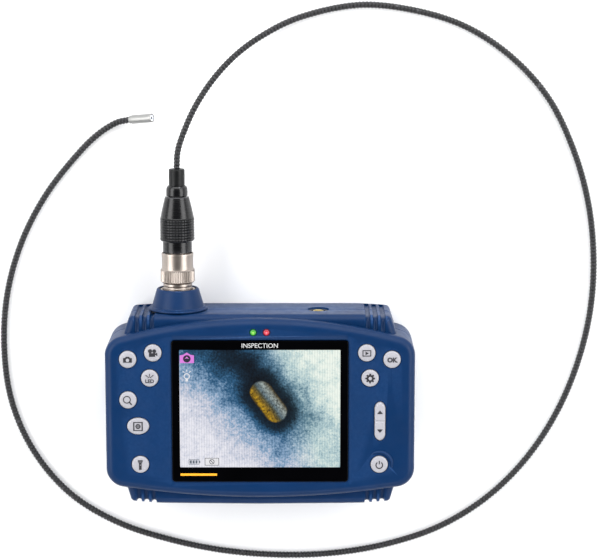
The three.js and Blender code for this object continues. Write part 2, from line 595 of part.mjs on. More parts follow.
const lampProfile = [
  [0, LAMPS.fromZ], [LAMPS.radius, LAMPS.fromZ], [LAMPS.radius, FACE_Z - 0.3],
  [LAMPS.tipRadius, FACE_Z + 0.3], [0, FACE_Z + 0.5],
];
LAMPS.xs.forEach((x, i) => {
  const lamp = turned(lampProfile, 0, 0, 12);
  lamp.rotateX(Math.PI / 2);
  place(i === 0 ? 'lamp_green' : 'lamp_red', lamp, i === 0 ? green : red, x, LAMPS.y);
});

for (const [name, x, y] of KEYS) {
  place(`key_${name}`, roundKey(), keyPlastic, x, y);
}
place('key_frame', frameKey(), keyPlastic, FRAME_KEY.x, FRAME_KEY.y);
place('key_up_down', rocker(), keyPlastic, ROCKER.x, ROCKER.y);
const pin = post(0, 0, ROCKER.pinRadius, -ROCKER.pinHalf, ROCKER.pinHalf, 12);
pin.rotateY(Math.PI / 2);
place('key_up_down_pin', pin, steel, ROCKER.x, ROCKER.y, ROCKER.pivotZ);

const screwNames = [
  'case_screw_left_top', 'case_screw_left_bottom', 'case_screw_right_top', 'case_screw_right_bottom',
];
const shoulder = SCREW.fromZ + SCREW.headHeight;
const screwProfile = [
  [0, SCREW.fromZ], [SCREW.head, SCREW.fromZ], [SCREW.head, shoulder],
  [SCREW.shank, shoulder], [SCREW.shank, SCREW.toZ], [0, SCREW.toZ],
];
bossPlaces.forEach(([x, y], i) => {
  const screw = turned(screwProfile, 0, 0, 12);
  screw.rotateX(Math.PI / 2);
  place(screwNames[i], screw, steel, x, y);
});

place('socket_shell', turned(socketShellProfile, PLUG_X, PARTING_Z, 28), nickel);
place('socket_nut', socketNut(), nickel);
place('socket_collar', turned(collarProfile, PLUG_X, PARTING_Z, 28), navyPlastic);
const trimRing = ring(SOCKET.radius + GAP, COLLAR.bore - GAP, TRIM_RING.fromY, TRIM_RING.toY);
place('socket_trim_ring', turned(trimRing, PLUG_X, PARTING_Z, 28), nickel);
place('socket_insert', socketInsert(), blackPlastic);

const jackProfile = [
  [0, JACK.fromY], [JACK.radius, JACK.fromY], [JACK.radius, JACK.toY], [JACK.mouth, JACK.toY],
  [JACK.mouth, JACK.mouthY], [JACK.hole, JACK.mouthY], [JACK.hole, JACK.holeY], [0, JACK.holeY],
];
const bushing = ring(JACK.hole, BUSHING.radius, BUSHING.fromY, BUSHING.toY);
place('charge_jack', turned(jackProfile, JACK.x, PARTING_Z, 16), blackPlastic);
place('charge_jack_bushing', turned(bushing, JACK.x, PARTING_Z, 16), brass);

const barrel = ring(BARREL.bore, BARREL.radius, BARREL.fromY, BARREL.toY);
place('plug_barrel', turned(barrel, PLUG_X, PARTING_Z, 20), nickel);
place('plug_insert', plugInsert(), blackPlastic);
place('locking_sleeve', turned(sleeveProfile, PLUG_X, PARTING_Z, 28), nickel);
place('sleeve_spring', sleeveSpring(), steel);
place('plug_grip', turned(gripBodyProfile, PLUG_X, PARTING_Z, 28), blackMetal);
place('clamp_nut', turned(nutProfile, PLUG_X, PARTING_Z, 20), blackMetal);
const relief = ring(RELIEF.bore, RELIEF.radius, RELIEF.fromY, RELIEF.toY);
place('strain_relief', turned(relief, PLUG_X, PARTING_Z, 20), rubber);

place('probe_cable', probeCable(), cableBlack);
place('head_housing', headPiece(headProfile), steel);
place('head_light_ring', headPiece(lightRing), white);
place('head_lens', headPiece(lensProfile, 12), displayGlass);

export default camera;
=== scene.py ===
import json
import math

import bmesh
import bpy
import numpy as np
from mathutils import Matrix, Vector


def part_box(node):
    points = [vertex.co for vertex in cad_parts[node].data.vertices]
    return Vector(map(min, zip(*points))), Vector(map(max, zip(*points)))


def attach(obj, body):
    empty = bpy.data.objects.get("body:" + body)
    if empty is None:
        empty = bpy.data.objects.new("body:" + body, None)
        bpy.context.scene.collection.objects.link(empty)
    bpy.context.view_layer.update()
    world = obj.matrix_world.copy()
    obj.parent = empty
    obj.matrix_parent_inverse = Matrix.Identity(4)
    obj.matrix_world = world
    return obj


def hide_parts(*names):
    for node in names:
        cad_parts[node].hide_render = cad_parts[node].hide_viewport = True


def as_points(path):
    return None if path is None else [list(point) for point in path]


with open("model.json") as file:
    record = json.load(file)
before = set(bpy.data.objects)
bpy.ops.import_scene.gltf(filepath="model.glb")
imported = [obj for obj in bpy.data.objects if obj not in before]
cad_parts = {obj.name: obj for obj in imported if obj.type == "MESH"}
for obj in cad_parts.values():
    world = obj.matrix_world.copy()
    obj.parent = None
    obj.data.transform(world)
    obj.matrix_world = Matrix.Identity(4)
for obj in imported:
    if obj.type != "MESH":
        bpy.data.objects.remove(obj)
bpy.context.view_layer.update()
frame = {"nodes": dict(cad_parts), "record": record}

# Lengths below are in millimetres, in the CAD frame: z = 0 is the table and the back of the unit,
# +Z comes out of the display, +X is right of it and +Y is the end with the probe socket.
MM = 0.001
RECORD = frame["record"]
BODY_OF = {node: body for body, nodes in RECORD["behaviour"]["bodies"].items() for node in nodes}
SLOT_OF = {part["node"]: part["material_slot"] for part in RECORD["subparts"]}


def low(node):
    return np.array(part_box(node)[0]) / MM


def high(node):
    return np.array(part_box(node)[1]) / MM


def middle(node):
    return (low(node) + high(node)) / 2


# ------------------------------------------------------------------ driving dimensions

FACE_HALF_WIDTH = high("front_shell")[0]
FACE_TOP_Y, FACE_TOP_RADIUS = 41.0, 235.0
FACE_BOTTOM_Y, FACE_BOTTOM_RADIUS = -39.4, 385.0
FACE_CORNER = 8.5
FACE_Z = high("display_window")[2] - 0.25
FACE_INSET = 3.7
BLOCK_TOP_Y = high("front_shell")[1]
BLOCK_BOTTOM_Y = low("front_shell")[1]
SHOULDER_Z = 31.0
PARTING_Z = middle("socket_shell")[2]
WALL = 2.2
RIM = 0.25
FLOOR = 2.4
DOOR_WIDTH = 52.0
DOOR_RECESS = 2.1
BAY_HALF_WIDTH, BAY_LOW_Y, BAY_HIGH_Y = 23.6, -37.8, -12.0
BAY_WALL = 1.5
GRIP_XS = (47.2, 50.5, 53.8)
GRIP_RADIUS = 1.15
# The grip grooves over the shoulder: (distance out from the end wall, rise above the shoulder).
GRIP_OVER_SHOULDER = [(-7.0, 0.7), (-5.4, 0.3), (-3.8, 0.1), (-2.3, -0.15), (-1.0, -0.9), (-0.2, -2.0),
                      (0.15, -3.4)]
PLUG_X = middle("socket_shell")[0]
JACK_X = middle("charge_jack")[0]
SOCKET_BORE = 6.7
JACK_BORE = 4.9
CABLE_DIAMETER = 2.9
# Chosen along the cable in the photo, and the same in CAD. It starts at the strain relief.
CABLE_ROUTE = [
    (-36.5, 105.0, 17.0), (-36.0, 112.0, 16.9), (-33.6, 119.8, 16.0), (-28.0, 132.0, 13.6),
    (-19.8, 144.0, 10.1), (-9.8, 154.2, 6.5), (2.0, 162.4, 3.6), (17.0, 169.5, 1.9),
    (43.2, 175.0, 1.48), (67.2, 172.8, 1.48), (90.3, 165.6, 1.48),
    (110.6, 152.4, 1.48), (127.2, 134.4, 1.48), (138.5, 112.4, 1.48), (145.8, 88.8, 1.48),
    (149.0, 64.1, 1.48), (148.2, 39.2, 1.48), (143.0, 14.6, 1.48), (133.8, -8.8, 1.48),
    (120.4, -30.2, 1.48), (102.8, -48.4, 1.48), (81.6, -62.0, 1.48), (57.8, -70.4, 1.48),
    (33.0, -74.8, 1.48), (7.7, -75.7, 1.48), (-17.4, -73.6, 1.48), (-42.2, -68.4, 1.48),
    (-66.0, -60.2, 1.48), (-87.2, -46.8, 1.48), (-103.2, -27.4, 1.48), (-113.0, -4.1, 1.48),
    (-116.0, 21.0, 1.48), (-114.0, 46.2, 1.48), (-106.8, 70.2, 1.48), (-94.9, 92.2, 1.48),
    (-79.4, 111.2, 1.5), (-73.6, 116.8, 1.5), (-68.4, 120.7, 1.72), (-63.2, 123.5, 2.6),
    (-58.0, 124.8, 4.6),
]
HEAD_YAW, HEAD_PITCH = 7.0, 24.0
ROUND_KEYS = ("photo", "video", "lamp", "zoom", "torch", "play", "ok", "setup", "power")
KEY_RADIUS = 3.75
KEY_GAP = 0.17
KEY_TOP = high("key_ok")[2]
MARK_TOP = KEY_TOP + 0.035
LAMPS = ("lamp_green", "lamp_red")
LAMP_RADIUS = 1.45
POWER_X, POWER_Y = middle("key_power")[:2]
FRAME_X, FRAME_Y = middle("key_frame")[:2]
FRAME_KEY_HALVES = (4.8, 3.7)
ROCKER_X, ROCKER_Y, PIVOT_Z = middle("key_up_down_pin")
ROCKER_RADIUS = 2.65
ROCKER_END = 5.95
ROCKER_SWELL = 0.24
SCREWS = [f"case_screw_{place}" for place in ("left_top", "left_bottom", "right_top", "right_bottom")]
SCREW_PLACES = [tuple(middle(screw)[:2]) for screw in SCREWS]
SCREW_BORE = 1.75
PORT_LOW = low("port_cover")[1:] - 0.3
PORT_HIGH = high("port_cover")[1:] + 0.3
DISPLAY_Y = 1.2
PICTURE_HALF_WIDTH, PICTURE_HALF_HEIGHT = 35.0, 26.2
PICTURE_TOP = high("display_window")[2] - 0.12

# ------------------------------------------------------------------ camera, floor and light

CAMERA_TILT = 10.0
CAMERA_PLACE = (17.5, 221.8, 962.5)
FOCAL = 130.4
FLOOR_HALF = 1500.0
FLOOR_THICKNESS = 0.6
# Place and size in metres, and power in watts.
SOFTBOXES = {
    "left": ((-1.5, 0.15, 1.2), (2.2, 1.1), 33),
    "right": ((1.5, 0.15, 1.2), (2.2, 1.1), 34),
    "top_end": ((0.0, 1.7, 1.15), (3.0, 1.6), 48),
    "near_end": ((0.0, -1.7, 1.6), (2.4, 0.8), 20),
}


def make_camera():
    data = bpy.data.cameras.new("camera")
    data.lens = FOCAL
    data.sensor_width = 36.0
    data.clip_end = 20.0
    camera = bpy.data.objects.new("camera", data)
    camera.location = Vector(CAMERA_PLACE) * MM
    camera.rotation_euler = (math.radians(-CAMERA_TILT), 0, 0)
    bpy.context.collection.objects.link(camera)
    bpy.context.scene.camera = camera


def softbox(name, place, size, power):
    data = bpy.data.lights.new(name, "AREA")
    data.shape = "RECTANGLE"
    data.size, data.size_y = size
    data.energy = power
    light = bpy.data.objects.new(name, data)
    light.location = place
    light.rotation_euler = (-Vector(place)).to_track_quat("-Z", "Y").to_euler()
    bpy.context.collection.objects.link(light)


def studio_world():
    """Pale at the horizon and darker overhead, so that the flat faces keep their own colour."""
    world = bpy.data.worlds.new("studio")
    world.use_nodes = True
    nodes, links = world.node_tree.nodes, world.node_tree.links
    parts = nodes.new("ShaderNodeSeparateXYZ")
    links.new(nodes.new("ShaderNodeTexCoord").outputs["Generated"], parts.inputs[0])
    ramp = nodes.new("ShaderNodeValToRGB")
    links.new(parts.outputs["Z"], ramp.inputs["Fac"])
    stops = ramp.color_ramp.elements
    stops[0].position, stops[0].color = 0.0, (0.78, 0.8, 0.83, 1.0)
    stops[1].position, stops[1].color = 0.6, (0.05, 0.055, 0.06, 1.0)
    links.new(ramp.outputs["Color"], nodes["Background"].inputs["Color"])
    return world


def make_studio():
    bpy.context.scene.view_settings.view_transform = "Standard"
    for side, (place, size, power) in SOFTBOXES.items():
        softbox(f"softbox_{side}", place, size, power)
    bpy.context.scene.world = studio_world()
    slab = prism(block(FLOOR_HALF, FLOOR_HALF), -FLOOR_THICKNESS, 0.0)
    floor = make_object("floor", *slab, angle=30)
    finish(floor, floor_paint())


# ------------------------------------------------------------------ mesh making

def make_object(name, verts, faces, angle=32):
    """A mesh object from points in millimetres, with doubled points merged and faces turned out."""
    mesh = bpy.data.meshes.new(name)
    mesh.from_pydata((np.asarray(verts, float) * MM).tolist(), [], [tuple(face) for face in faces])
    work = bmesh.new()
    work.from_mesh(mesh)
    bmesh.ops.remove_doubles(work, verts=work.verts, dist=2e-7)
    bmesh.ops.recalc_face_normals(work, faces=work.faces)
    work.to_mesh(mesh)
    work.free()
    obj = bpy.data.objects.new(name, mesh)
    bpy.context.collection.objects.link(obj)
    smooth(obj, angle)
    return obj


def smooth(obj, angle):
    mesh = obj.data
    mesh.polygons.foreach_set("use_smooth", [True] * len(mesh.polygons))
    mesh.set_sharp_from_angle(angle=math.radians(angle))


def loft(rings, around=False):
    """Joins rings of points with quads. The ends are capped, or joined to each other if around is true."""
    count = len(rings[0])
    verts = np.concatenate([np.asarray(ring, float) for ring in rings])
    faces = []
    last = len(rings) if around else len(rings) - 1
    for i in range(last):
        here, there = i * count, ((i + 1) % len(rings)) * count
        for j in range(count):
            k = (j + 1) % count
            faces.append((here + j, here + k, there + k, there + j))
    if not around:
        faces.append(tuple(reversed(range(count))))
        faces.append(tuple(range((len(rings) - 1) * count, len(rings) * count)))
    return verts, faces


def rect(x0, y0, x1, y1):
    return [(x0, y0), (x1, y0), (x1, y1), (x0, y1)]


def block(half_width, half_height):
    return rect(-half_width, -half_height, half_width, half_height)


def prism(outline, z0, z1):
    return loft([[(x, y, z) for x, y in outline] for z in (z0, z1)])


def box(lo, hi):
    return prism(rect(lo[0], lo[1], hi[0], hi[1]), lo[2], hi[2])


def along_y(x, z):
    return lambda r, h, a: (x + r * math.cos(a), h, z + r * math.sin(a))


def along_z(x, y):
    return lambda r, h, a: (x + r * math.cos(a), y + r * math.sin(a), h)


def rounded(profile, radius, steps=4):
    """The profile with each corner replaced by an arc, smaller where the sides are short."""
    points = [np.array(point, float) for point in profile]
    closed = np.allclose(points[0], points[-1])
    ring = points[:-1] if closed else points
    result = []
    for i, corner in enumerate(ring):
        if not closed and i in (0, len(ring) - 1):
            result.append(corner)
            continue
        before, after = ring[i - 1] - corner, ring[(i + 1) % len(ring)] - corner
        reach = min(radius, 0.45 * np.linalg.norm(before), 0.45 * np.linalg.norm(after))
        start = corner + before / np.linalg.norm(before) * reach
        end = corner + after / np.linalg.norm(after) * reach
        for step in range(steps + 1):
            t = step / steps
            result.append((1 - t) ** 2 * start + 2 * t * (1 - t) * corner + t ** 2 * end)
    if closed:
        result.append(result[0])
    return result


def turned(profile, place, steps=64, relief=None):
    """A turned piece from (radius, height) pairs. relief(radius, height, angle) is taken off the radius."""
    closed = np.allclose(profile[0], profile[-1])
    rows = profile[:-1] if closed else profile
    rings = []
    for radius, height in rows:
        ring = []
        for j in range(steps):
            angle = 2 * math.pi * j / steps
            cut = relief(radius, height, angle) if relief else 0.0
            ring.append(place(max(radius - cut, 0.0), height, angle))
        rings.append(ring)
    if closed:
        return loft(rings, around=True)
    verts, faces = loft(rings)
    return verts, faces[:-2] if rows[0][0] == 0 and rows[-1][0] == 0 else faces


def bevelled(outline_at, stages):
    """A slab whose outline at each height is outline_at(inset), from (inset, z) pairs."""
    return loft([[(x, y, z) for x, y in outline_at(inset)] for inset, z in stages])


def fillet(width, height, from_z, steps=8, rising=True):
    """(inset, z) pairs of a rounded edge that starts at from_z on the wall and ends on the face."""
    pairs = []
    for step in range(steps + 1):
        a = math.pi / 2 * step / steps
        z = from_z + height * math.sin(a) * (1 if rising else -1)
        pairs.append((width * (1 - math.cos(a)), z))
    return pairs


def tube(path, radius_at, sides=16):
    """A closed tube along the points of path. radius_at(i) is its radius at point i."""
    points = [Vector(point) for point in path]
    rings = []
    normal = None
    for i, point in enumerate(points):
        ahead = points[min(i + 1, len(points) - 1)] - points[max(i - 1, 0)]
        tangent = ahead.normalized()
        if normal is None:
            normal = tangent.orthogonal().normalized()
        normal = (normal - tangent * normal.dot(tangent)).normalized()
        side = tangent.cross(normal)
        radius = radius_at(i)
        ring = []
        for j in range(sides):
            a = 2 * math.pi * j / sides
            offset = (normal * math.cos(a) + side * math.sin(a)) * (radius(a) if callable(radius) else radius)
            ring.append(tuple(point + offset))
        rings.append(ring)
    return loft(rings)


def combine(target, parts, operation="DIFFERENCE", angle=32):
    """Cuts the parts from the target, or joins them to it, and removes them."""
    for part in parts:
        modifier = target.modifiers.new("combine", "BOOLEAN")
        modifier.operation = operation
        modifier.solver = "MANIFOLD"
        modifier.object = part
    graph = bpy.context.evaluated_depsgraph_get()
    mesh = bpy.data.meshes.new_from_object(target.evaluated_get(graph))
    target.modifiers.clear()
    target.data = mesh
    for part in parts:
        bpy.data.objects.remove(part)
    tidy_mesh(target, angle)


def tidy_mesh(obj, angle):
    work = bmesh.new()
    work.from_mesh(obj.data)
    bmesh.ops.remove_doubles(work, verts=work.verts, dist=1e-6)
    bmesh.ops.dissolve_degenerate(work, edges=work.edges, dist=1e-6)
    work.to_mesh(obj.data)
    work.free()
    smooth(obj, angle)


def solid(verts_faces):
    """A closed shape for combine() to cut away or to join on."""
    return make_object("cutter", *verts_faces)


def finish(obj, material):
    obj.data.materials.clear()
    obj.data.materials.append(material)


def stand_for(piece, *nodes):
    """The piece replaces CAD nodes, and takes the body and the material of the first of them."""
    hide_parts(*nodes)
    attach(piece, BODY_OF[nodes[0]])
    finish(piece, MATERIALS[SLOT_OF[nodes[0]]])


# ------------------------------------------------------------------ outlines

def arc(cx, cy, radius, start, end, steps):
    angles = np.linspace(start, end, steps, endpoint=False)
    return [(cx + radius * math.cos(a), cy + radius * math.sin(a)) for a in angles]


def face_corner(inset, top):
    side, radius = FACE_HALF_WIDTH - inset, FACE_CORNER - inset
    long_radius = (FACE_TOP_RADIUS if top else FACE_BOTTOM_RADIUS) - inset
    centre_y = FACE_TOP_Y - FACE_TOP_RADIUS if top else FACE_BOTTOM_Y + FACE_BOTTOM_RADIUS
    x = side - radius
    rise = math.sqrt((long_radius - radius) ** 2 - x ** 2)
    y = centre_y + (rise if top else -rise)
    return x, y, radius, long_radius, centre_y, math.atan2(rise, x)


def face_outline(inset=0.0):
    """Outline of the front plate: two long arcs, straight sides and rounded corners."""
    tx, ty, tr, long_top, top_cy, ta = face_corner(inset, True)
    bx, by, br, long_bottom, bottom_cy, ba = face_corner(inset, False)
    points = arc(0, bottom_cy, long_bottom, math.pi + ba, 2 * math.pi - ba, 72)
    points += arc(bx, by, br, -ba, 0, 16)
    points += [(bx + br, y) for y in np.linspace(by, ty, 24, endpoint=False)]
    points += arc(tx, ty, tr, 0, ta, 16)
    points += arc(0, top_cy, long_top, ta, math.pi - ta, 72)
    points += arc(-tx, ty, tr, math.pi - ta, math.pi, 16)
    points += [(-tx - tr, y) for y in np.linspace(ty, by, 24, endpoint=False)]
    points += arc(-bx, by, br, math.pi, math.pi + ba, 16)
    return points


def rounded_polygon(corners, inset, steps=10):
    """A polygon of (x, y, corner radius), moved in by inset, with its corners rounded."""
    count = len(corners)
    points = []
    for i in range(count):
        previous, here, following = (np.array(corners[(i + k) % count][:2], float) for k in (-1, 0, 1))
        into, out = here - previous, following - here
        into, out = into / np.linalg.norm(into), out / np.linalg.norm(out)
        n1, n2 = np.array([-into[1], into[0]]), np.array([-out[1], out[0]])
        bisector = (n1 + n2) / (1 + n1 @ n2)
        radius = max(corners[i][2] - inset, 0.25)
        centre = here + bisector * (inset + radius)
        start, end = math.atan2(-n1[1], -n1[0]), math.atan2(-n2[1], -n2[0])
        if end < start:
            end += 2 * math.pi
        for a in np.linspace(start, end, steps):
            points.append((centre[0] + radius * math.cos(a), centre[1] + radius * math.sin(a)))
    return points


BLOCK_CORNERS = [
    (0, BLOCK_BOTTOM_Y, 60), (44, BLOCK_BOTTOM_Y + 0.4, 60), (57.2, BLOCK_BOTTOM_Y + 1.4, 2.2),
    (59.9, -33, 10), (59.9, 33, 10), (57.2, BLOCK_TOP_Y - 0.8, 2.2), (44, BLOCK_TOP_Y, 60),
    (-44, BLOCK_TOP_Y, 60), (-57.2, BLOCK_TOP_Y - 0.8, 2.2), (-59.9, 33, 10), (-59.9, -33, 10),
    (-57.2, BLOCK_BOTTOM_Y + 1.4, 2.2), (-44, BLOCK_BOTTOM_Y + 0.4, 60),
]


def block_outline(inset=0.0):
    return rounded_polygon(BLOCK_CORNERS, inset)


def rectangle_outline(width, height, corner, x=0.0, y=0.0):
    def outline(inset=0.0):
        w, h, r = width / 2 - inset, height / 2 - inset, max(corner - inset, 0.05)
        corners = [(x - w, y - h, r), (x + w, y - h, r), (x + w, y + h, r), (x - w, y + h, r)]
        return rounded_polygon(corners, 0.0, 8)
    return outline


def ellipse_outline(x, y, half_width, half_height, steps=64):
    def outline(inset=0.0):
        angles = [2 * math.pi * j / steps for j in range(steps)]
        wide, tall = half_width - inset, half_height - inset
        return [(x + wide * math.cos(a), y + tall * math.sin(a)) for a in angles]
    return outline


def stadium_outline(width, length):
    r, straight = width / 2, (length - width) / 2
    return arc(0, straight, r, 0, math.pi, 24) + arc(0, -straight, r, math.pi, 2 * math.pi, 24)


def rocker_outline(inset=0.0, steps=40):
    """A stadium whose sides swell towards its middle."""
    points = []
    for end in (1, -1):
        for i in range(steps):
            angle = math.pi * i / (steps - 1) + (0 if end == 1 else math.pi)
            x = (ROCKER_RADIUS - inset) * math.cos(angle)
            y = end * ROCKER_END + (ROCKER_RADIUS - inset) * math.sin(angle)
            swell = 1 - ROCKER_SWELL * (y / (ROCKER_END + ROCKER_RADIUS)) ** 2
            points.append((ROCKER_X + x * swell, ROCKER_Y + y))
    return points


# ------------------------------------------------------------------ materials

def linear(code):
    """Linear colour of a 0xRRGGBB code."""
    channels = [(code >> shift & 255) / 255 for shift in (16, 8, 0)]
    return tuple(c / 12.92 if c <= 0.04045 else ((c + 0.055) / 1.055) ** 2.4 for c in channels)


class Nodes:
    """A material with its Principled shader, and short calls that add nodes to it."""

    def __init__(self, name, colour, roughness, metallic=0.0, **sockets):
        self.material = bpy.data.materials.new(name)
        self.material.use_nodes = True
        self.tree = self.material.node_tree
        self.shader = self.tree.nodes["Principled BSDF"]
        self.shader.inputs["Base Color"].default_value = (*colour, 1.0)
        self.shader.inputs["Roughness"].default_value = roughness
        self.shader.inputs["Metallic"].default_value = metallic
        for socket, value in sockets.items():
            self.shader.inputs[socket.replace("_", " ")].default_value = value
        self.colour = (*colour, 1.0)

    def node(self, kind, **inputs):
        node = self.tree.nodes.new(kind)
        for socket, value in inputs.items():
            self.plug(value, node.inputs[socket.replace("_", " ")])
        return node

    def plug(self, value, socket):
        if isinstance(value, bpy.types.NodeSocket):
            self.tree.links.new(value, socket)
        else:
            socket.default_value = value

    def place(self, scale=(1.0, 1.0, 1.0), turn=(0.0, 0.0, 0.0), move=(0.0, 0.0, 0.0)):
        coordinates = self.tree.nodes.new("ShaderNodeTexCoord").outputs["Object"]
        node = self.node("ShaderNodeMapping", Vector=coordinates, Scale=scale, Rotation=turn, Location=move)
        return node.outputs["Vector"]

    def noise(self, scale, detail=3.0, vector=None):
        vector = vector or self.place()
        return self.node("ShaderNodeTexNoise", Vector=vector, Scale=scale, Detail=detail).outputs["Fac"]

    def math(self, operation, a, b=0.0, clamp=False):
        node = self.tree.nodes.new("ShaderNodeMath")
        node.operation = operation
        node.use_clamp = clamp
        self.plug(a, node.inputs[0])
        self.plug(b, node.inputs[1])
        return node.outputs[0]

    def ramp(self, value, stops):
        node = self.node("ShaderNodeValToRGB", Fac=value)
        elements = node.color_ramp.elements
        while len(elements) < len(stops):
            elements.new(0.5)
        for element, (position, colour) in zip(elements, stops):
            element.position = position
            element.color = (*(linear(colour) if isinstance(colour, int) else colour), 1.0)
        return node.outputs["Color"]

    def span(self, value, low_out, high_out, low_in=0.0, high_in=1.0):
        node = self.node("ShaderNodeMapRange", Value=value)
        numbers = {"From Min": low_in, "From Max": high_in, "To Min": low_out, "To Max": high_out}
        for socket, number in numbers.items():
            node.inputs[socket].default_value = number
        return node.outputs["Result"]

    def mix(self, factor, a, b):
        node = self.tree.nodes.new("ShaderNodeMix")
        node.data_type = "RGBA"
        self.plug(factor, node.inputs["Factor"])
        self.plug(a, node.inputs[6])
        self.plug(b, node.inputs[7])
        return node.outputs[2]

    def surface(self, socket, value):
        self.plug(value, self.shader.inputs[socket])

    def bump(self, height, strength, distance):
        node = self.node("ShaderNodeBump", Height=height, Strength=strength, Distance=distance)
        self.surface("Normal", node.outputs["Normal"])

    def grain(self, scale, detail, strength, distance):
        """Fine relief; distance is in metres."""
        self.bump(self.noise(scale, detail), strength, distance)

    def emit(self, light, strength):
        self.surface("Emission Color", light)
        self.surface("Emission Strength", strength)

    def vary(self, amount, scale):
        """Lets the base colour drift lighter and darker by the given share."""
        light = tuple(min(c * (1 + amount), 1.0) for c in self.colour[:3])
        dark = tuple(c * (1 - amount) for c in self.colour[:3])
        colour = self.ramp(self.noise(scale, 4.0), [(0.3, dark), (0.7, light)])
        self.surface("Base Color", colour)
        return colour

    def lighter_edges(self, base, accent, width=0.52):
        """Lightens the base colour along convex edges, in broken patches; on the cable and the black anodised
        metal this is painted highlight.
        """
        pointiness = self.tree.nodes.new("ShaderNodeNewGeometry").outputs["Pointiness"]
        edge = self.span(pointiness, 0.0, 0.6, width, width + 0.08)
        edge.node.clamp = True
        broken = self.math("MULTIPLY", edge, self.noise(900.0, 4.0), clamp=True)
        self.surface("Base Color", self.mix(broken, base, (*linear(accent), 1.0)))

    def rough(self, low_value, high_value, scale, detail=3.0):
        value = self.span(self.noise(scale, detail), low_value, high_value, 0.3, 0.7)
        self.surface("Roughness", value)


def floor_paint():
    nodes = Nodes("floor_paint", (0.965, 0.965, 0.97), 0.85)
    nodes.vary(0.008, 12.0)
    nodes.grain(900.0, 2.0, 0.02, 0.0001)
    return nodes.material


def plain_surface(name, colour, roughness, drift, rough, relief, accent=None, **sockets):
    """A colour that drifts, a roughness that varies, fine relief and, if given, lighter convex edges (painted
    highlight on the cable).
    """
    nodes = Nodes(name, linear(colour), roughness, **sockets)
    base = nodes.vary(*drift)
    if accent:
        nodes.lighter_edges(base, accent)
    nodes.rough(*rough)
    nodes.grain(*relief)
    return nodes.material


def casing_plastic():
    return plain_surface("navy_casing", 0x022851, 0.44, (0.08, 38.0), (0.37, 0.47, 320.0),
                         (5200.0, 2.0, 0.16, 0.00003), 0x3d639c, Specular_IOR_Level=0.2)


def key_plastic():
    return plain_surface("pale_key", 0xa3a2a8, 0.36, (0.03, 260.0), (0.3, 0.44, 900.0),
                         (4200.0, 2.0, 0.1, 0.00002), 0xc0bfc5)


def simple_plastic(name, colour, roughness, scale=3500.0, strength=0.25, accent=None, shine=0.5):
    return plain_surface(name, colour, roughness, (0.1, 200.0), (roughness * 0.85, roughness * 1.15, 700.0),
                         (scale, 3.0, strength, 0.00003), accent, Specular_IOR_Level=shine)


def turned_metal(name, colour, low_rough, high_rough, strength=0.12, accent=None, metallic=1.0):
    """Metal turned about the plug's axis: fine rings across Y, and a slight tarnish."""
    nodes = Nodes(name, linear(colour), low_rough, metallic)
    base = nodes.vary(0.06, 130.0)
    if accent:
        nodes.lighter_edges(base, accent)
    rings = nodes.noise(1.0, 4.0, nodes.place(scale=(60.0, 6000.0, 60.0)))
    value = nodes.span(rings, low_rough, high_rough, 0.3, 0.7)
    nodes.surface("Roughness", value)
    nodes.bump(rings, strength, 0.00002)
    return nodes.material


def glowing(name, colour, strength):
    nodes = Nodes(name, linear(colour), 0.22, Coat_Weight=0.4)
    nodes.vary(0.08, 500.0)
    dimmer = [c * 0.9 for c in linear(colour)]
    light = nodes.ramp(nodes.noise(700.0, 2.0), [(0.3, dimmer), (0.75, colour)])
    nodes.emit(light, strength)
    nodes.grain(2500.0, 3.0, 0.05, 0.00002)
    return nodes.material


def lamp_glow(name, rim, colour, core, x, y):
    """A small lamp lens whose light is brightest over the chip at (x, y) and falls off to its rim."""
    nodes = Nodes(name, linear(rim), 0.2)
    nodes.vary(0.1, 500.0)
    offset = nodes.place(scale=(1000.0, 1000.0, 0.0), move=(-x, -y, 0.0))
    length = nodes.node("ShaderNodeVectorMath")
    length.operation = "LENGTH"
    nodes.plug(offset, length.inputs[0])
    reach = nodes.math("ADD", length.outputs["Value"], nodes.math("MULTIPLY", nodes.noise(900.0, 2.0), 0.3))
    share = nodes.span(reach, 0.0, 1.0, 0.1, 1.55)
    light = nodes.ramp(share, [(0.1, core), (0.45, colour), (0.95, rim)])
    nodes.emit(light, 0.95)
    nodes.grain(2500.0, 3.0, 0.05, 0.00002)
    return nodes.material


def glow_ink(name, colour):
    """A lit shape on the display's picture."""
    nodes = Nodes(name, (0.01, 0.01, 0.01), 0.2)
    dimmer = [c * 0.88 for c in linear(colour)]
    light = nodes.ramp(nodes.noise(1500.0, 2.0), [(0.3, dimmer), (0.7, colour)])
    nodes.emit(light, 0.9)
    nodes.rough(0.15, 0.25, 800.0)
    nodes.grain(2500.0, 3.0, 0.03, 0.00001)
    return nodes.material


def black_glass():
    return plain_surface("black_window", 0x020203, 0.06, (0.3, 80.0), (0.04, 0.1, 90.0, 5.0),
                         (60.0, 2.0, 0.01, 0.00002), Specular_IOR_Level=0.12)


def printed_ink(name, colour):
    return plain_surface(name, colour, 0.5, (0.08, 1400.0), (0.42, 0.6, 1200.0), (6000.0, 2.0, 0.08, 0.00001))


PILL_X, PILL_Y, PILL_HALF, PILL_RADIUS = 3.7, 4.4, 5.2, 4.95
PILL_TILT = math.radians(-54)


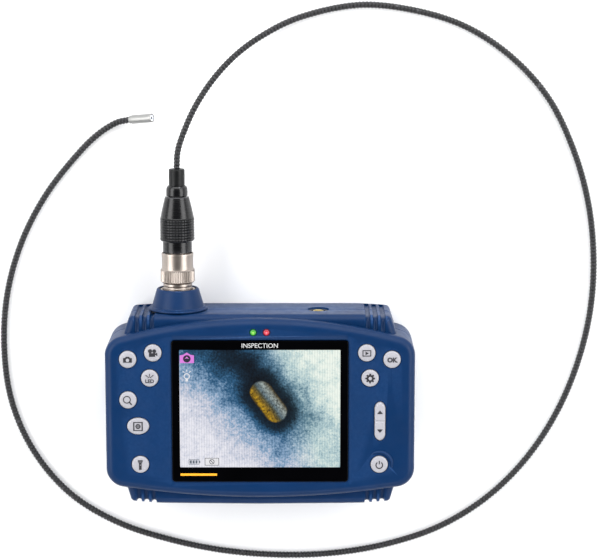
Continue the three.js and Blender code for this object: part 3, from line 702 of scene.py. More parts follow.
def picture_paint():
    """What the probe sees: a lit, speckled surface with a dark shadow and a golden grain in it."""
    nodes = Nodes("display_image", (0.004, 0.004, 0.005), 0.12, Specular_IOR_Level=0.1)
    m = nodes.math
    where = nodes.place(scale=(1000.0, 1000.0, 1000.0))
    parts = nodes.node("ShaderNodeSeparateXYZ", Vector=where)
    ripple = m("MULTIPLY", m("SUBTRACT", nodes.noise(0.13, 5.0, where), 0.5), 14.0)
    x, y = parts.outputs["X"], parts.outputs["Y"]

    def slope(ax, ay, offset):
        """ax * x + ay * y + offset."""
        return m("ADD", m("ADD", m("MULTIPLY", x, ax), m("MULTIPLY", y, ay)), offset)

    left = m("ADD", slope(-0.67, -0.74, -5.4), ripple)
    right = m("ADD", slope(0.86, 0.5, -16.8), ripple)
    light_left = nodes.span(left, 0.0, 1.0, -24.0, 24.0)
    light_right = nodes.span(right, 0.0, 1.0, -18.0, 18.0)
    for value in (light_left, light_right):
        value.node.interpolation_type = "SMOOTHSTEP"

    along = slope(math.cos(PILL_TILT), math.sin(PILL_TILT),
                  -PILL_X * math.cos(PILL_TILT) - PILL_Y * math.sin(PILL_TILT))
    across = slope(-math.sin(PILL_TILT), math.cos(PILL_TILT),
                   PILL_X * math.sin(PILL_TILT) - PILL_Y * math.cos(PILL_TILT))
    beyond = m("MAXIMUM", m("SUBTRACT", m("ABSOLUTE", along), PILL_HALF), 0.0)
    squares = m("ADD", m("MULTIPLY", beyond, beyond), m("MULTIPLY", across, across))
    distance = m("ADD", m("SQRT", squares), m("MULTIPLY", ripple, 0.05))

    grain = nodes.noise(1.1, 5.0, where)
    fine = nodes.noise(3.2, 3.0, where)
    speckle = m("ADD", m("MULTIPLY", m("SUBTRACT", grain, 0.5), 0.75),
                m("MULTIPLY", m("SUBTRACT", fine, 0.5), 0.45))
    halo = nodes.span(distance, 0.0, 1.0, PILL_RADIUS + 1.0, PILL_RADIUS + 8.0)
    halo.node.interpolation_type = "SMOOTHSTEP"
    below = nodes.span(slope(0.72, -0.69, 0.0), 0.0, 0.76, 0.0, 28.0)
    sides = m("MAXIMUM", m("MAXIMUM", light_left, light_right), below)
    blotches = m("MULTIPLY", m("SUBTRACT", nodes.noise(0.34, 2.0, where), 0.5), 0.5)
    sides = m("MULTIPLY", m("ADD", sides, m("MULTIPLY", blotches, sides)), 0.95)
    lightness = m("MULTIPLY", sides, m("ADD", m("MULTIPLY", halo, 0.8), 0.2))
    spread = m("ADD", m("MULTIPLY", m("MULTIPLY", lightness, m("SUBTRACT", 1.2, lightness)), 2.0), 0.12)
    lightness = m("ADD", lightness, m("MULTIPLY", speckle, spread), clamp=True)
    cool = nodes.ramp(lightness, [(0.0, 0x04070a), (0.14, 0x12293a), (0.36, 0x2e5f85),
                                  (0.58, 0x8aa9c8), (0.78, 0xcdd1e0), (1.0, 0xeeeef6)])
    warm = nodes.ramp(lightness, [(0.0, 0x05090b), (0.16, 0x1b3038), (0.42, 0x5f8496),
                                  (0.66, 0xb0cbd0), (0.85, 0xdaeae4), (1.0, 0xf2faf0)])
    side = nodes.span(slope(0.94, 0.34, -8.0), 0.0, 1.0, -4.0, 10.0)
    ground = nodes.mix(side, cool, warm)

    streak = m("ADD", across, m("MULTIPLY", ripple, 0.12))
    skin = nodes.ramp(nodes.span(streak, 0.0, 1.0, -PILL_RADIUS, PILL_RADIUS),
                      [(0.0, 0x6b5510), (0.12, 0xe0b020), (0.26, 0xb8922a),
                       (0.42, 0x6c6a48), (0.56, 0x7a929c), (0.78, 0xbccac6),
                       (1.0, 0x6f5c28)])
    accent = nodes.span(m("ADD", m("MULTIPLY", grain, 0.6), m("MULTIPLY", fine, 0.5)), 0.0, 1.0, 0.38, 0.72)
    skin = nodes.mix(accent, skin, (*linear(0x15120a), 1.0))
    inside = nodes.span(distance, 1.0, 0.0, PILL_RADIUS - 0.5, PILL_RADIUS + 0.3)
    picture = nodes.mix(inside, ground, skin)

    lines = m("MULTIPLY", m("SINE", m("MULTIPLY", x, 2 * math.pi / 1.1)), 0.075)
    shade = m("ADD", 0.98, lines)
    scaled = nodes.node("ShaderNodeVectorMath")
    scaled.operation = "SCALE"
    nodes.plug(picture, scaled.inputs[0])
    nodes.plug(shade, scaled.inputs["Scale"])
    nodes.emit(scaled.outputs[0], 0.95)
    nodes.rough(0.1, 0.16, 60.0)
    nodes.grain(80.0, 2.0, 0.01, 0.00001)
    return nodes.material


make_camera()
make_studio()

MATERIALS = {
    "casing": casing_plastic(),
    "key": key_plastic(),
    "rubber": simple_plastic("soft_rubber", 0x08090a, 0.42, accent=0x2a2c30, shine=0.28),
    "battery": simple_plastic("cell_wrap", 0x33373c, 0.4, accent=0x50555c),
    "board": simple_plastic("solder_mask", 0x1c6238, 0.35, 1800.0),
    "silicone": simple_plastic("silicone_mat", 0x959aa2, 0.6),
    "black_plastic": simple_plastic("black_insulator", 0x18181a, 0.42, accent=0x303034),
    "steel": turned_metal("plated_steel", 0xc4c5c8, 0.25, 0.4),
    "head_steel": turned_metal("head_steel", 0x9c9c9a, 0.36, 0.5, accent=0xc0c0be),
    "nickel": turned_metal("satin_nickel", 0xa89e96, 0.3, 0.42, accent=0xe2d8ce),
    "brass": turned_metal("turned_brass", 0xe0d09c, 0.25, 0.4),
    # Lighter convex edges on the knurl's studs and the cone: painted highlight.
    "black_anodised": turned_metal("black_anodised", 0x08080a, 0.2, 0.3, accent=0x7c7d84, metallic=0.1),
    # Lighter convex edges along the cable's ribs: painted highlight.
    "cable": simple_plastic("cable_jacket", 0x050506, 0.28, accent=0x7a7a80, shine=0.36),
    "lamp_green": lamp_glow("green_lamp", 0x0c4a1c, 0x5fd21e, 0xe0ff9a, *middle("lamp_green")[:2]),
    "lamp_red": lamp_glow("red_lamp", 0x5a0c1c, 0xee2440, 0xffb4bc, *middle("lamp_red")[:2]),
    "light_ring": glowing("white_lights", 0xe8ecf6, 0.7),
    "display": simple_plastic("display_panel", 0x60666c, 0.3),
    "window": black_glass(),
    "lens": simple_plastic("dark_lens", 0x0c0c14, 0.08, strength=0.02),
}
INK = printed_ink("mark_ink", 0x232228)
INK_SOFT = printed_ink("letter_ink", 0x36353b)
PRINT_WHITE = printed_ink("white_print", 0xc4c4c4)
PRINT_AMBER = printed_ink("amber_print", 0xf2a81c)
for node, obj in frame["nodes"].items():
    for slot in obj.material_slots:
        slot.material = MATERIALS[SLOT_OF[node]]

# ------------------------------------------------------------------ probe cable

def catmull_rom(points, spacing):
    """Centripetal Catmull-Rom curve through the points, sampled at about the given spacing."""
    pts = [np.array(point, float) for point in points]
    pts = [2 * pts[0] - pts[1], *pts, 2 * pts[-1] - pts[-2]]
    samples = []
    for p0, p1, p2, p3 in zip(pts, pts[1:], pts[2:], pts[3:]):
        gaps = [max(np.linalg.norm(b - a) ** 0.5, 1e-6) for a, b in ((p0, p1), (p1, p2), (p2, p3))]
        m1 = (p1 - p0) / gaps[0] - (p2 - p0) / (gaps[0] + gaps[1]) + (p2 - p1) / gaps[1]
        m2 = (p2 - p1) / gaps[1] - (p3 - p1) / (gaps[1] + gaps[2]) + (p3 - p2) / gaps[2]
        m1, m2 = m1 * gaps[1], m2 * gaps[1]
        steps = max(int(round(np.linalg.norm(p2 - p1) / 0.25)), 2)
        for t in np.linspace(0, 1, steps, endpoint=False):
            samples.append((2 * t ** 3 - 3 * t ** 2 + 1) * p1 + (t ** 3 - 2 * t ** 2 + t) * m1
                           + (3 * t ** 2 - 2 * t ** 3) * p2 + (t ** 3 - t ** 2) * m2)
    samples = np.array(samples + [pts[-2]])
    along = np.r_[0, np.cumsum(np.linalg.norm(np.diff(samples, axis=0), axis=1))]
    even = np.linspace(0, along[-1], int(round(along[-1] / spacing)) + 1)
    return np.column_stack([np.interp(even, along, samples[:, k]) for k in range(3)]), along[-1]


# The ribs of the cable's jacket, wound round it.
COIL_PITCH = 1.6
COIL_DEPTH = 0.27


def make_cable():
    path, length = catmull_rom(CABLE_ROUTE, COIL_PITCH / 6)
    step = length / (len(path) - 1)
    outer = CABLE_DIAMETER / 2

    def radius_at(i):
        turn = 2 * math.pi * i * step / COIL_PITCH
        return lambda a: outer - COIL_DEPTH * (0.5 - 0.5 * math.cos(turn + a)) ** 2

    cable = make_object("cable", *tube(path, radius_at, sides=14), angle=60)
    stand_for(cable, "probe_cable")
    route = [tuple(point * MM) for point in path[::6]]
    return cable, length, route


cable, cable_length, cable_path = make_cable()

# ------------------------------------------------------------------ camera head

def head_place():
    yaw, pitch = math.radians(HEAD_YAW), math.radians(HEAD_PITCH)
    forward = Vector((math.cos(yaw) * math.cos(pitch), math.sin(yaw) * math.cos(pitch), math.sin(pitch)))
    side = Vector((-math.sin(yaw), math.cos(yaw), 0))
    upward = forward.cross(side)
    start = Vector(CABLE_ROUTE[-1]) + 0.3 * forward

    def place(r, h, a):
        return tuple(start + forward * h + side * (r * math.cos(a)) + upward * (r * math.sin(a)))
    return place


def make_head():
    place = head_place()
    housing = [(0, 0), (1.5, 0), (1.7, 0.25), (1.72, 1.2), (1.95, 1.35), (1.95, 11.2), (1.8, 11.4),
               (1.6, 11.4), (1.6, 10.4), (0, 10.4)]
    ring = [(0.85, 10.65), (1.35, 10.65), (1.35, 11.2), (0.85, 11.2), (0.85, 10.65)]
    glass = [(0, 10.65), (0.6, 10.65), (0.6, 11.0), (0.45, 11.15), (0, 11.2)]

    def six_lamps(radius, height, angle):
        return 0.12 * (0.5 + 0.5 * math.cos(6 * angle)) if radius > 1.1 else 0.0

    pieces = {
        "head_housing": make_object("head_tube", *turned(rounded(housing, 0.12), place, 64)),
        "head_light_ring": make_object("head_lights", *turned(rounded(ring, 0.1), place, 48, six_lamps)),
        "head_lens": make_object("head_glass", *turned(rounded(glass, 0.1), place, 40)),
    }
    for node, piece in pieces.items():
        stand_for(piece, node)
    return list(pieces.values())


head_pieces = make_head()
tuple(c * MM for c in CABLE_ROUTE[0])
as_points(cable_path)

# ------------------------------------------------------------------ casing

def groove_cutters(from_z, to_shoulder):
    """Three grip grooves at each corner, down the end walls and, on the front half, over the shoulder."""
    cutters = []
    for x in GRIP_XS:
        slope = (x - 44) / 13.4
        for end, wall in ((1, BLOCK_TOP_Y - 0.8 * slope), (-1, -BLOCK_BOTTOM_Y - 0.4 - slope)):
            path = [(wall + 0.25, SHOULDER_Z - 5), (wall + 0.25, from_z)]
            if to_shoulder:
                path = [(wall + out, SHOULDER_Z + rise) for out, rise in GRIP_OVER_SHOULDER] + path
            for side in (-1, 1):
                points = [(side * x, end * y, z) for y, z in path]
                cutters.append(solid(tube(points, lambda i: GRIP_RADIUS, 20)))
    return cutters


def cylinder(radius, low_end, high_end, place, steps):
    profile = [(0, low_end), (radius, low_end), (radius, high_end), (0, high_end)]
    return solid(turned(profile, place, steps))


def bore_cutters():
    """The bores for the probe socket and the charging jack, through the end wall."""
    places = ((SOCKET_BORE, PLUG_X), (JACK_BORE, JACK_X))
    return [cylinder(radius, 34, 46, along_y(x, PARTING_Z), 64) for radius, x in places]


def pin_bore(radius):
    """The bore for the rocker's pin, along X."""
    def place(r, h, a):
        return (h, ROCKER_Y + r * math.cos(a), PIVOT_Z + r * math.sin(a))
    return cylinder(radius, ROCKER_X - 6, ROCKER_X + 6, place, 32)


def hole(x, y, radius, bottom, steps=56):
    """The cutter of a round hole in the plate, with a chamfered rim."""
    wide = radius + RIM
    profile = [(0, bottom), (radius, bottom), (radius, FACE_Z - RIM), (wide, FACE_Z), (wide, FACE_Z + 4),
               (0, FACE_Z + 4)]
    return solid(turned(profile, along_z(x, y), steps))


def opening(outline, gap):
    """The cutter of a shaped hole in the plate, with a gap round the key and a chamfered rim."""
    wide = gap + RIM
    return solid(bevelled(outline, [(-gap, 30), (-gap, FACE_Z - RIM), (-wide, FACE_Z), (-wide, 40)]))


def front_casing():
    block_edge = fillet(3.2, 2.8, SHOULDER_Z - 2.8, 10)
    block_rings = [(0.35, PARTING_Z + 0.15), (0, PARTING_Z + 0.5), *block_edge, (4.0, SHOULDER_Z)]
    plate_edge = [(0, 3.1), (0.05, 2.55), (0.2, 2.05), (0.46, 1.6), (0.85, 1.15), (1.35, 0.72), (1.85, 0.4),
                  (2.35, 0.18), (2.85, 0.06), (3.3, 0.01)]
    plate_rings = [(0.35, PARTING_Z + 0.15), (0, PARTING_Z + 0.5)]
    plate_rings += [(inset, FACE_Z - drop) for inset, drop in plate_edge]
    plate_rings += [(FACE_INSET, FACE_Z), (FACE_INSET + 0.5, FACE_Z)]
    casing = make_object("front_casing", *bevelled(block_outline, block_rings))
    ridge = [(POWER_X + 5.6 * math.cos(a), POWER_Y + 5.6 * math.sin(a), FACE_Z - 0.1)
             for a in np.linspace(math.radians(-20), math.radians(130), 36)]

    def ridge_radius(i):
        return 0.12 + 0.68 * math.sin(math.pi * i / (len(ridge) - 1)) ** 0.6

    plate = solid(bevelled(face_outline, plate_rings))
    combine(casing, [plate, solid(tube(ridge, ridge_radius, 14))], "UNION")
    combine(casing, [
        solid(bevelled(block_outline, [(WALL, 10), (WALL, SHOULDER_Z - WALL)])),
        solid(bevelled(face_outline, [(WALL, 9), (WALL, SHOULDER_Z - WALL)])),
        solid(bevelled(face_outline, [(WALL + 0.6, 20), (WALL + 0.6, FACE_Z - WALL)])),
    ])
    bosses = [cylinder(3.4, PARTING_Z + 0.3, 30.2, along_z(x, y), 40) for x, y in SCREW_PLACES]
    lugs = [solid(box((ROCKER_X + side * 4.3 - 0.7, ROCKER_Y - 1.8, 31.6),
                      (ROCKER_X + side * 4.3 + 0.7, ROCKER_Y + 1.8, FACE_Z - 1))) for side in (-1, 1)]
    combine(casing, bosses + lugs, "UNION")
    window_low, window_high = low("display_window"), high("display_window")
    width, height = (window_high - window_low)[:2]
    surround = [(-0.3, FACE_Z - 0.5), (-2.3, FACE_Z + 0.02), (-2.6, FACE_Z + 4)]
    cutters = [
        solid(bevelled(rectangle_outline(width, height, 1.3), surround)),
        solid(bevelled(rectangle_outline(width, height, 1.3), [(-0.3, FACE_Z - 1.2), (-0.3, FACE_Z + 3)])),
        solid(box((-PICTURE_HALF_WIDTH - 1, DISPLAY_Y - PICTURE_HALF_HEIGHT - 1, 30),
                  (PICTURE_HALF_WIDTH + 1, DISPLAY_Y + PICTURE_HALF_HEIGHT + 1, 40))),
        opening(ellipse_outline(FRAME_X, FRAME_Y, *FRAME_KEY_HALVES), 0.18),
        opening(rocker_outline, 0.2),
        pin_bore(0.9),
        solid(slab_x(PORT_LOW, PORT_HIGH, 66.0, 71.0, 0.8)),
        solid(slab_x(PORT_LOW + 2, PORT_HIGH - 2, 60.0, 71.0, 0.6)),
    ]
    cutters += [hole(*middle(f"key_{name}")[:2], KEY_RADIUS + KEY_GAP, 30) for name in ROUND_KEYS]
    cutters += [hole(*middle(name)[:2], LAMP_RADIUS + KEY_GAP, 28, 40) for name in LAMPS]
    cutters += [cylinder(SCREW_BORE, 10, 28, along_z(x, y), 32) for x, y in SCREW_PLACES]
    combine(casing, cutters + groove_cutters(PARTING_Z - 2, True) + bore_cutters())
    stand_for(casing, "front_shell")
    even_normals(casing)


def rear_casing():
    block_edge = list(reversed(fillet(2.8, 2.8, 2.8, 8, rising=False)))
    plate_edge = list(reversed(fillet(3.4, 3.4, 3.4, 8, rising=False)))
    top = [(0, PARTING_Z - 0.5), (0.35, PARTING_Z - 0.15)]
    casing = make_object("rear_casing", *bevelled(block_outline, [(3.4, 0), *block_edge, *top]))
    combine(casing, [solid(bevelled(face_outline, [(4.0, 0), *plate_edge, *top]))], "UNION")
    combine(casing, [
        solid(bevelled(block_outline, [(WALL, FLOOR), (WALL, 30)])),
        solid(bevelled(face_outline, [(WALL, FLOOR), (WALL, 31)])),
    ])
    bosses = [cylinder(3.8, 1, 16.8, along_z(x, y), 48) for x, y in SCREW_PLACES]
    pad = solid(box((-30, -41.4, 1.5), (30, -7, 3.3)))
    wide = BAY_HALF_WIDTH + BAY_WALL
    walls = solid(box((-wide, BAY_LOW_Y - BAY_WALL, 1.2), (wide, BAY_HIGH_Y + BAY_WALL, 15)))
    combine(casing, bosses + [pad, walls], "UNION")
    cutters = [
        solid(box((-BAY_HALF_WIDTH, BAY_LOW_Y, -1), (BAY_HALF_WIDTH, BAY_HIGH_Y, 20))),
        solid(prism(rectangle_outline(DOOR_WIDTH + 0.6, 42.2, 1.8, 0, -29.8)(), -1, DOOR_RECESS)),
        solid(box((-27.7, -52, 0.75), (27.7, -8.7, DOOR_RECESS))),
    ]
    for x, y in SCREW_PLACES:
        well = [(0, -1), (3.9, -1), (3.9, 0), (3.2, 0.5), (3.2, 4.5), (SCREW_BORE, 4.5), (SCREW_BORE, 20),
                (0, 20)]
        cutters.append(solid(turned(well, along_z(x, y), 48)))
    combine(casing, cutters + groove_cutters(3.0, False) + bore_cutters())
    stand_for(casing, "rear_shell")
    even_normals(casing)


def seam_lip():
    """The tongue inside the walls that closes the seam between the two halves."""
    def slab(outline, inset, reach):
        return bevelled(outline, [(inset, PARTING_Z - reach), (inset, PARTING_Z + reach)])

    lip = make_object("seam_lip", *slab(block_outline, 1.1, 0.5))
    combine(lip, [solid(slab(face_outline, 1.1, 0.5))], "UNION")
    combine(lip, [solid(slab(block_outline, 1.9, 2.0)), solid(slab(face_outline, 1.9, 2.0)), *bore_cutters()])
    finish(lip, MATERIALS["rubber"])
    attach(lip, "handset")


def even_normals(obj):
    """Shades wide flat faces flat and keeps the roundings beside them smooth."""
    modifier = obj.modifiers.new("even_normals", "WEIGHTED_NORMAL")
    modifier.keep_sharp = True


def slab_x(yz_low, yz_high, x0, x1, corner, bevel=0.0):
    """A slab that lies across X, with rounded corners in YZ and its outer face bevelled."""
    outline = rectangle_outline(*np.subtract(yz_high, yz_low), corner, *np.add(yz_high, yz_low) / 2)
    stages = [(0, x0), (0, x1)]
    if bevel:
        stages = [(bevel, x0), (0, x0 + bevel), (0, x1 - bevel), (bevel, x1)]
    return loft([[(x, y, z) for y, z in outline(inset)] for inset, x in stages])


def port_flap():
    lo, hi = low("port_cover"), high("port_cover")
    flap = make_object("port_flap", *slab_x(lo[1:], hi[1:], lo[0], hi[0], 0.6, 0.25))
    centre = (lo[1] + hi[1]) / 2
    nail = rectangle_outline(10, 2.2, 0.8, centre, hi[2])
    ribs = [slab_x((y - 0.45, 22.0), (y + 0.45, 25.6), hi[0] - 0.25, hi[0] + 1, 0.3)
            for y in centre - 6.05 + 2.6 * np.arange(6)]
    notch = loft([[(x, y, z) for y, z in nail()] for x in (hi[0] - 0.5, hi[0] + 2)])
    combine(flap, [solid(shape) for shape in (notch, *ribs)])
    stand_for(flap, "port_cover")


def side_ports():
    """The data port's shell round its tongue and contacts, and the card slot with its guide."""
    lo, hi = low("usb_port"), high("usb_port")
    mouth = hi[0]
    shell = make_object("data_port_shell", *slab_x(lo[1:], hi[1:], lo[0], mouth, 1.0))
    combine(shell, [solid(slab_x(lo[1:] + 0.4, hi[1:] - 0.4, mouth - 6.5, mouth + 1, 0.7))])
    stand_for(shell, "usb_port")
    centre, level = (lo[1:] + hi[1:]) / 2
    tongue = make_object("data_port_tongue", *slab_x((centre - 2.3, level - 0.1), (centre + 2.3, level + 0.7),
                                                     mouth - 6.6, mouth - 0.9, 0.15, 0.1))
    strips = []
    for i in range(-2, 3):
        y = centre + 0.8 * i
        strips.append(slab_x((y - 0.18, level - 0.22), (y + 0.18, level - 0.12),
                             mouth - 6.4, mouth - 1.5, 0.03))
    contacts = make_object("data_port_contacts", *joined_mesh(strips))
    lo, hi = low("card_slot"), high("card_slot")
    margin = np.array([0.8, 0.45])
    cage = make_object("card_slot_cage", *slab_x(lo[1:], hi[1:], lo[0], mouth, 0.3))
    combine(cage, [solid(slab_x(lo[1:] + margin, hi[1:] - margin, mouth - 8.0, mouth + 1, 0.2))])
    stand_for(cage, "card_slot")
    guide = make_object("card_slot_guide", *slab_x(lo[1:] + margin + 0.05, hi[1:] - margin - 0.05,
                                                   mouth - 7.9, mouth - 4.0, 0.1))
    for piece, slot in ((tongue, "black_plastic"), (guide, "black_plastic"), (contacts, "brass")):
        finish(piece, MATERIALS[slot])
        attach(piece, "handset")


def battery_lid():
    lo, hi = low("battery_door"), high("battery_door")
    centre = (lo[1] + hi[1]) / 2
    outline = rectangle_outline(DOOR_WIDTH, hi[1] - lo[1], 1.5, 0, centre)
    lid = make_object("battery_lid", *bevelled(outline, [(0.3, 0.02), (0, 0.32), (0, 1.85)]))
    combine(lid, [solid(box((lo[0], lo[1] + 1.5, 1.05), (hi[0], hi[1] - 0.02, 1.84)))], "UNION")
    grips = []
    for i in range(-1, 5):
        groove = [(y, -33.5 + 2 * i - x) for x, y in stadium_outline(0.9, 18 - abs(i - 1.5) * 1.6)]
        grips.append(solid(prism(groove, -1, 0.6)))
    arrow = [(0, -23.6), (3.4, -19.4), (-3.4, -19.4)]
    grips.append(solid(prism(arrow, -1, 0.4)))
    combine(lid, grips)
    stand_for(lid, "battery_door")


def screws():
    for name in SCREWS:
        x, y = middle(name)[:2]
        bottom, top = low(name)[2], high(name)[2]
        profile = [(0, bottom), (2.8, bottom), (2.8, bottom + 2), (1.4, bottom + 2), (1.4, top - 1),
                   (0.3, top), (0, top)]
        screw = make_object(f"{name}_cross", *turned(rounded(profile, 0.35), along_z(x, y), 40))
        slots = [solid(box((x - a, y - b, bottom - 1), (x + a, y + b, bottom + 1.1)))
                 for a, b in ((1.7, 0.35), (0.35, 1.7))]
        combine(screw, slots)
        stand_for(screw, name)


# ------------------------------------------------------------------ keys and their marks

def dome(radius, drop=0.7, steps=14):
    """(radius, height) pairs of a key's flat-topped crown, from its edge to its middle."""
    pairs = []
    for i in range(steps + 1):
        share = math.cos(math.pi / 2 * i / steps)
        pairs.append((radius * share, KEY_TOP - drop * (1 - (1 - share ** 4) ** 0.5)))
    return pairs


def round_key(name):
    x, y = middle(f"key_{name}")[:2]
    stem = [(0, 32.2), (4.5, 32.2), (4.6, 32.3), (4.6, 33.2), (4.5, 33.3), (KEY_RADIUS, 33.3)]
    key = make_object(f"{name}_button", *turned(stem + dome(KEY_RADIUS), along_z(x, y), 72), angle=40)
    stand_for(key, f"key_{name}")


def oval_key():
    outline = ellipse_outline(FRAME_X, FRAME_Y, *FRAME_KEY_HALVES)
    stages = [(-0.8, 32.2), (-0.8, 33.3), (0, 33.3)]
    stages += [(KEY_RADIUS - radius, height) for radius, height in dome(KEY_RADIUS)[:-1] if radius > 0.6]
    key = make_object("frame_button", *bevelled(outline, stages), angle=40)
    stand_for(key, "key_frame")


def rocker_key():
    stages = [(0.25, 32.1), (0, 32.3), (0, 36.2), (0.12, 36.55), (0.35, 36.8), (0.7, 36.95), (1.1, KEY_TOP),
              (1.6, KEY_TOP)]
    key = make_object("up_down_rocker", *bevelled(rocker_outline, stages), angle=40)
    groove = tube([(ROCKER_X + reach, ROCKER_Y, KEY_TOP + 0.35) for reach in (-5, 5)], lambda i: 0.75, 24)
    combine(key, [solid(groove), pin_bore(0.87)], angle=40)
    stand_for(key, "key_up_down")


def disc(x, y, radius, steps=40):
    return [(x + radius * math.cos(2 * math.pi * i / steps), y + radius * math.sin(2 * math.pi * i / steps))
            for i in range(steps)]


def bar(x0, y0, x1, y1, width):
    along = np.array([x1 - x0, y1 - y0])
    along = along / np.linalg.norm(along) * width / 2
    nx, ny = -along[1], along[0]
    return [(x0 + nx, y0 + ny), (x0 - nx, y0 - ny), (x1 - nx, y1 - ny), (x1 + nx, y1 + ny)]


def band(x, y, radius, width, start=0.0, end=360.0, steps=44):
    """A flat band along an arc, from start to end in degrees."""
    angles = np.radians(np.linspace(start, end, steps))
    outer, inner = ([(x + reach * math.cos(a), y + reach * math.sin(a)) for a in angles]
                    for reach in (radius + width / 2, radius - width / 2))
    if end - start < 359.9:
        return outer + inner[::-1]
    return outer[:-1], inner[:-1]


def gear(tip, root, teeth=8):
    points = []
    for i in range(teeth):
        centre = 2 * math.pi * i / teeth + math.pi / 2
        for offset, radius in ((-0.27, root), (-0.15, tip), (0.15, tip), (0.27, root)):
            points.append((radius * math.cos(centre + offset), radius * math.sin(centre + offset)))
    return points


def plate_of(shape, z0, z1):
    """A thin closed plate from an outline, or from a pair of outer and inner outlines."""
    if isinstance(shape, tuple):
        outer, inner = shape
        rings = [[(x, y, z) for x, y in outline] for outline, z in
                 ((outer, z0), (outer, z1), (inner, z1), (inner, z0))]
        return loft(rings, around=True)
    return prism(shape, z0, z1)


def joined_mesh(parts):
    verts, faces, count = [], [], 0
    for part_verts, part_faces in parts:
        verts.append(part_verts)
        faces += [tuple(i + count for i in face) for face in part_faces]
        count += len(part_verts)
    return np.concatenate(verts), faces


def moved(shape, x, y):
    """The outline, or the pair of outlines, moved by (x, y)."""
    if isinstance(shape, tuple):
        return tuple(moved(outline, x, y) for outline in shape)
    return [(x + px, y + py) for px, py in shape]


def mark(name, shapes, at, body, material, heights):
    """A mark made of thin plates, with their outlines given from the point at."""
    plates = [plate_of(moved(shape, *at), *heights) for shape in shapes]
    piece = make_object(name, *joined_mesh(plates), angle=20)
    finish(piece, material)
    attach(piece, body)


def lettering(name, text, at, height, body, material, heights, stroke=0.0):
    """Closed letters in the built-in plain face, laid flat with their middle at the point at."""
    z0, z1 = heights
    data = bpy.data.curves.new(name, "FONT")
    data.body = text
    data.size = height / 0.7 * MM
    data.align_x = "CENTER"
    data.resolution_u = 4
    data.offset = stroke * MM
    data.extrude = (z1 - z0) / 2 * MM
    curve = bpy.data.objects.new(name, data)
    bpy.context.collection.objects.link(curve)
    graph = bpy.context.evaluated_depsgraph_get()
    mesh = bpy.data.meshes.new_from_object(curve.evaluated_get(graph))
    mesh.transform(Matrix.Translation(Vector((at[0], at[1] - height / 2, (z0 + z1) / 2)) * MM))
    bpy.data.objects.remove(curve)
    piece = bpy.data.objects.new(name, mesh)
    bpy.context.collection.objects.link(piece)
    work = bmesh.new()
    work.from_mesh(mesh)
    bmesh.ops.remove_doubles(work, verts=work.verts, dist=1e-7)
    work.to_mesh(mesh)
    work.free()
    finish(piece, material)
    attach(piece, body)


def key_marks():
    """Generic symbols on the keys, drawn from the middle of each key."""
    base = KEY_TOP - 0.3
    on_key = (base, MARK_TOP)
    on_mark = (base, MARK_TOP + 0.02)
    pale = MATERIALS["key"]

    def symbol(name, key, shapes, ink=INK, heights=on_key):
        mark(name, shapes, middle(f"key_{key}")[:2], f"{key}_key", ink, heights)

    def letters(key, text, drop, height, stroke):
        x, y = middle(f"key_{key}")[:2]
        lettering(f"{key}_letters", text, (x, y - drop), height, f"{key}_key", INK_SOFT, on_key, stroke)

    symbol("photo_mark", "photo", [[(-1.9, -1.25), (1.9, -1.25), (1.9, 0.75), (1.1, 0.85), (0.65, 1.4),
                                    (-0.65, 1.4), (-1.1, 0.85), (-1.9, 0.75)]])
    symbol("photo_mark_lens", "photo", [disc(0, -0.2, 0.75)], pale, on_mark)

    wedge = [(0.95, -0.55), (2.0, -1.25), (2.0, 0.3), (0.95, -0.1)]
    symbol("video_mark", "video", [disc(-1.1, 0.95, 0.9), disc(0.7, 0.95, 0.85), wedge,
                                   rect(-1.6, -1.55, 1.05, 0.1)])

    rays = [bar(0, 1.0, 0, 2.05, 0.4), *[bar(0.8 * side, 0.75, 1.7 * side, 1.5, 0.4) for side in (-1, 1)]]
    symbol("lamp_mark", "lamp", [*rays, band(0, 0, 0.7, 0.36, 5, 175)], INK_SOFT)
    letters("lamp", "LED", 1.2, 1.55, 0.09)

    symbol("zoom_mark", "zoom", [band(-0.4, 0.3, 1.5, 0.42), bar(0.65, -0.8, 1.7, -2.0, 0.56)])

    symbol("frame_mark", "frame", [(block(2.1, 2.0), block(1.55, 1.6)), disc(0, 0, 1.15)])
    symbol("frame_mark_slits", "frame", [bar(x, -0.7, x, 0.7, 0.16) for x in (-0.36, 0.36)], pale, on_mark)

    symbol("torch_mark", "torch", [[(-0.58, -2.25), (0.58, -2.25), (0.58, 0.6), (1.05, 1.3), (1.05, 2.1),
                                    (-1.05, 2.1), (-1.05, 1.3), (-0.58, 0.6)]])
    line_and_switch = [bar(-0.9, 1.3, 0.9, 1.3, 0.12), disc(0, -0.1, 0.18, 16)]
    symbol("torch_mark_line", "torch", line_and_switch, pale, on_mark)

    symbol("play_mark", "play", [(block(1.9, 1.4), block(1.5, 1.0)), [(-0.6, -0.8), (0.85, 0), (-0.6, 0.8)]])
    letters("ok", "OK", 0.05, 1.95, 0.17)
    symbol("setup_mark", "setup", [(gear(2.15, 1.55), disc(0, 0, 0.85, 32))])
    symbol("power_mark", "power", [band(0, -0.15, 1.45, 0.48, 125, 415), bar(0, 0.2, 0, 1.8, 0.48)])
    symbol("up_down_marks", "up_down", [[(-1.3, 3.4), (1.3, 3.4), (0, 5.0)],
                                        [(1.3, -3.5), (-1.3, -3.5), (0, -5.1)]])


# ------------------------------------------------------------------ display

def picture_outline(margin):
    width, height = 2 * (PICTURE_HALF_WIDTH + margin), 2 * (PICTURE_HALF_HEIGHT + margin)
    return rectangle_outline(width, height, 0.3, 0, DISPLAY_Y)


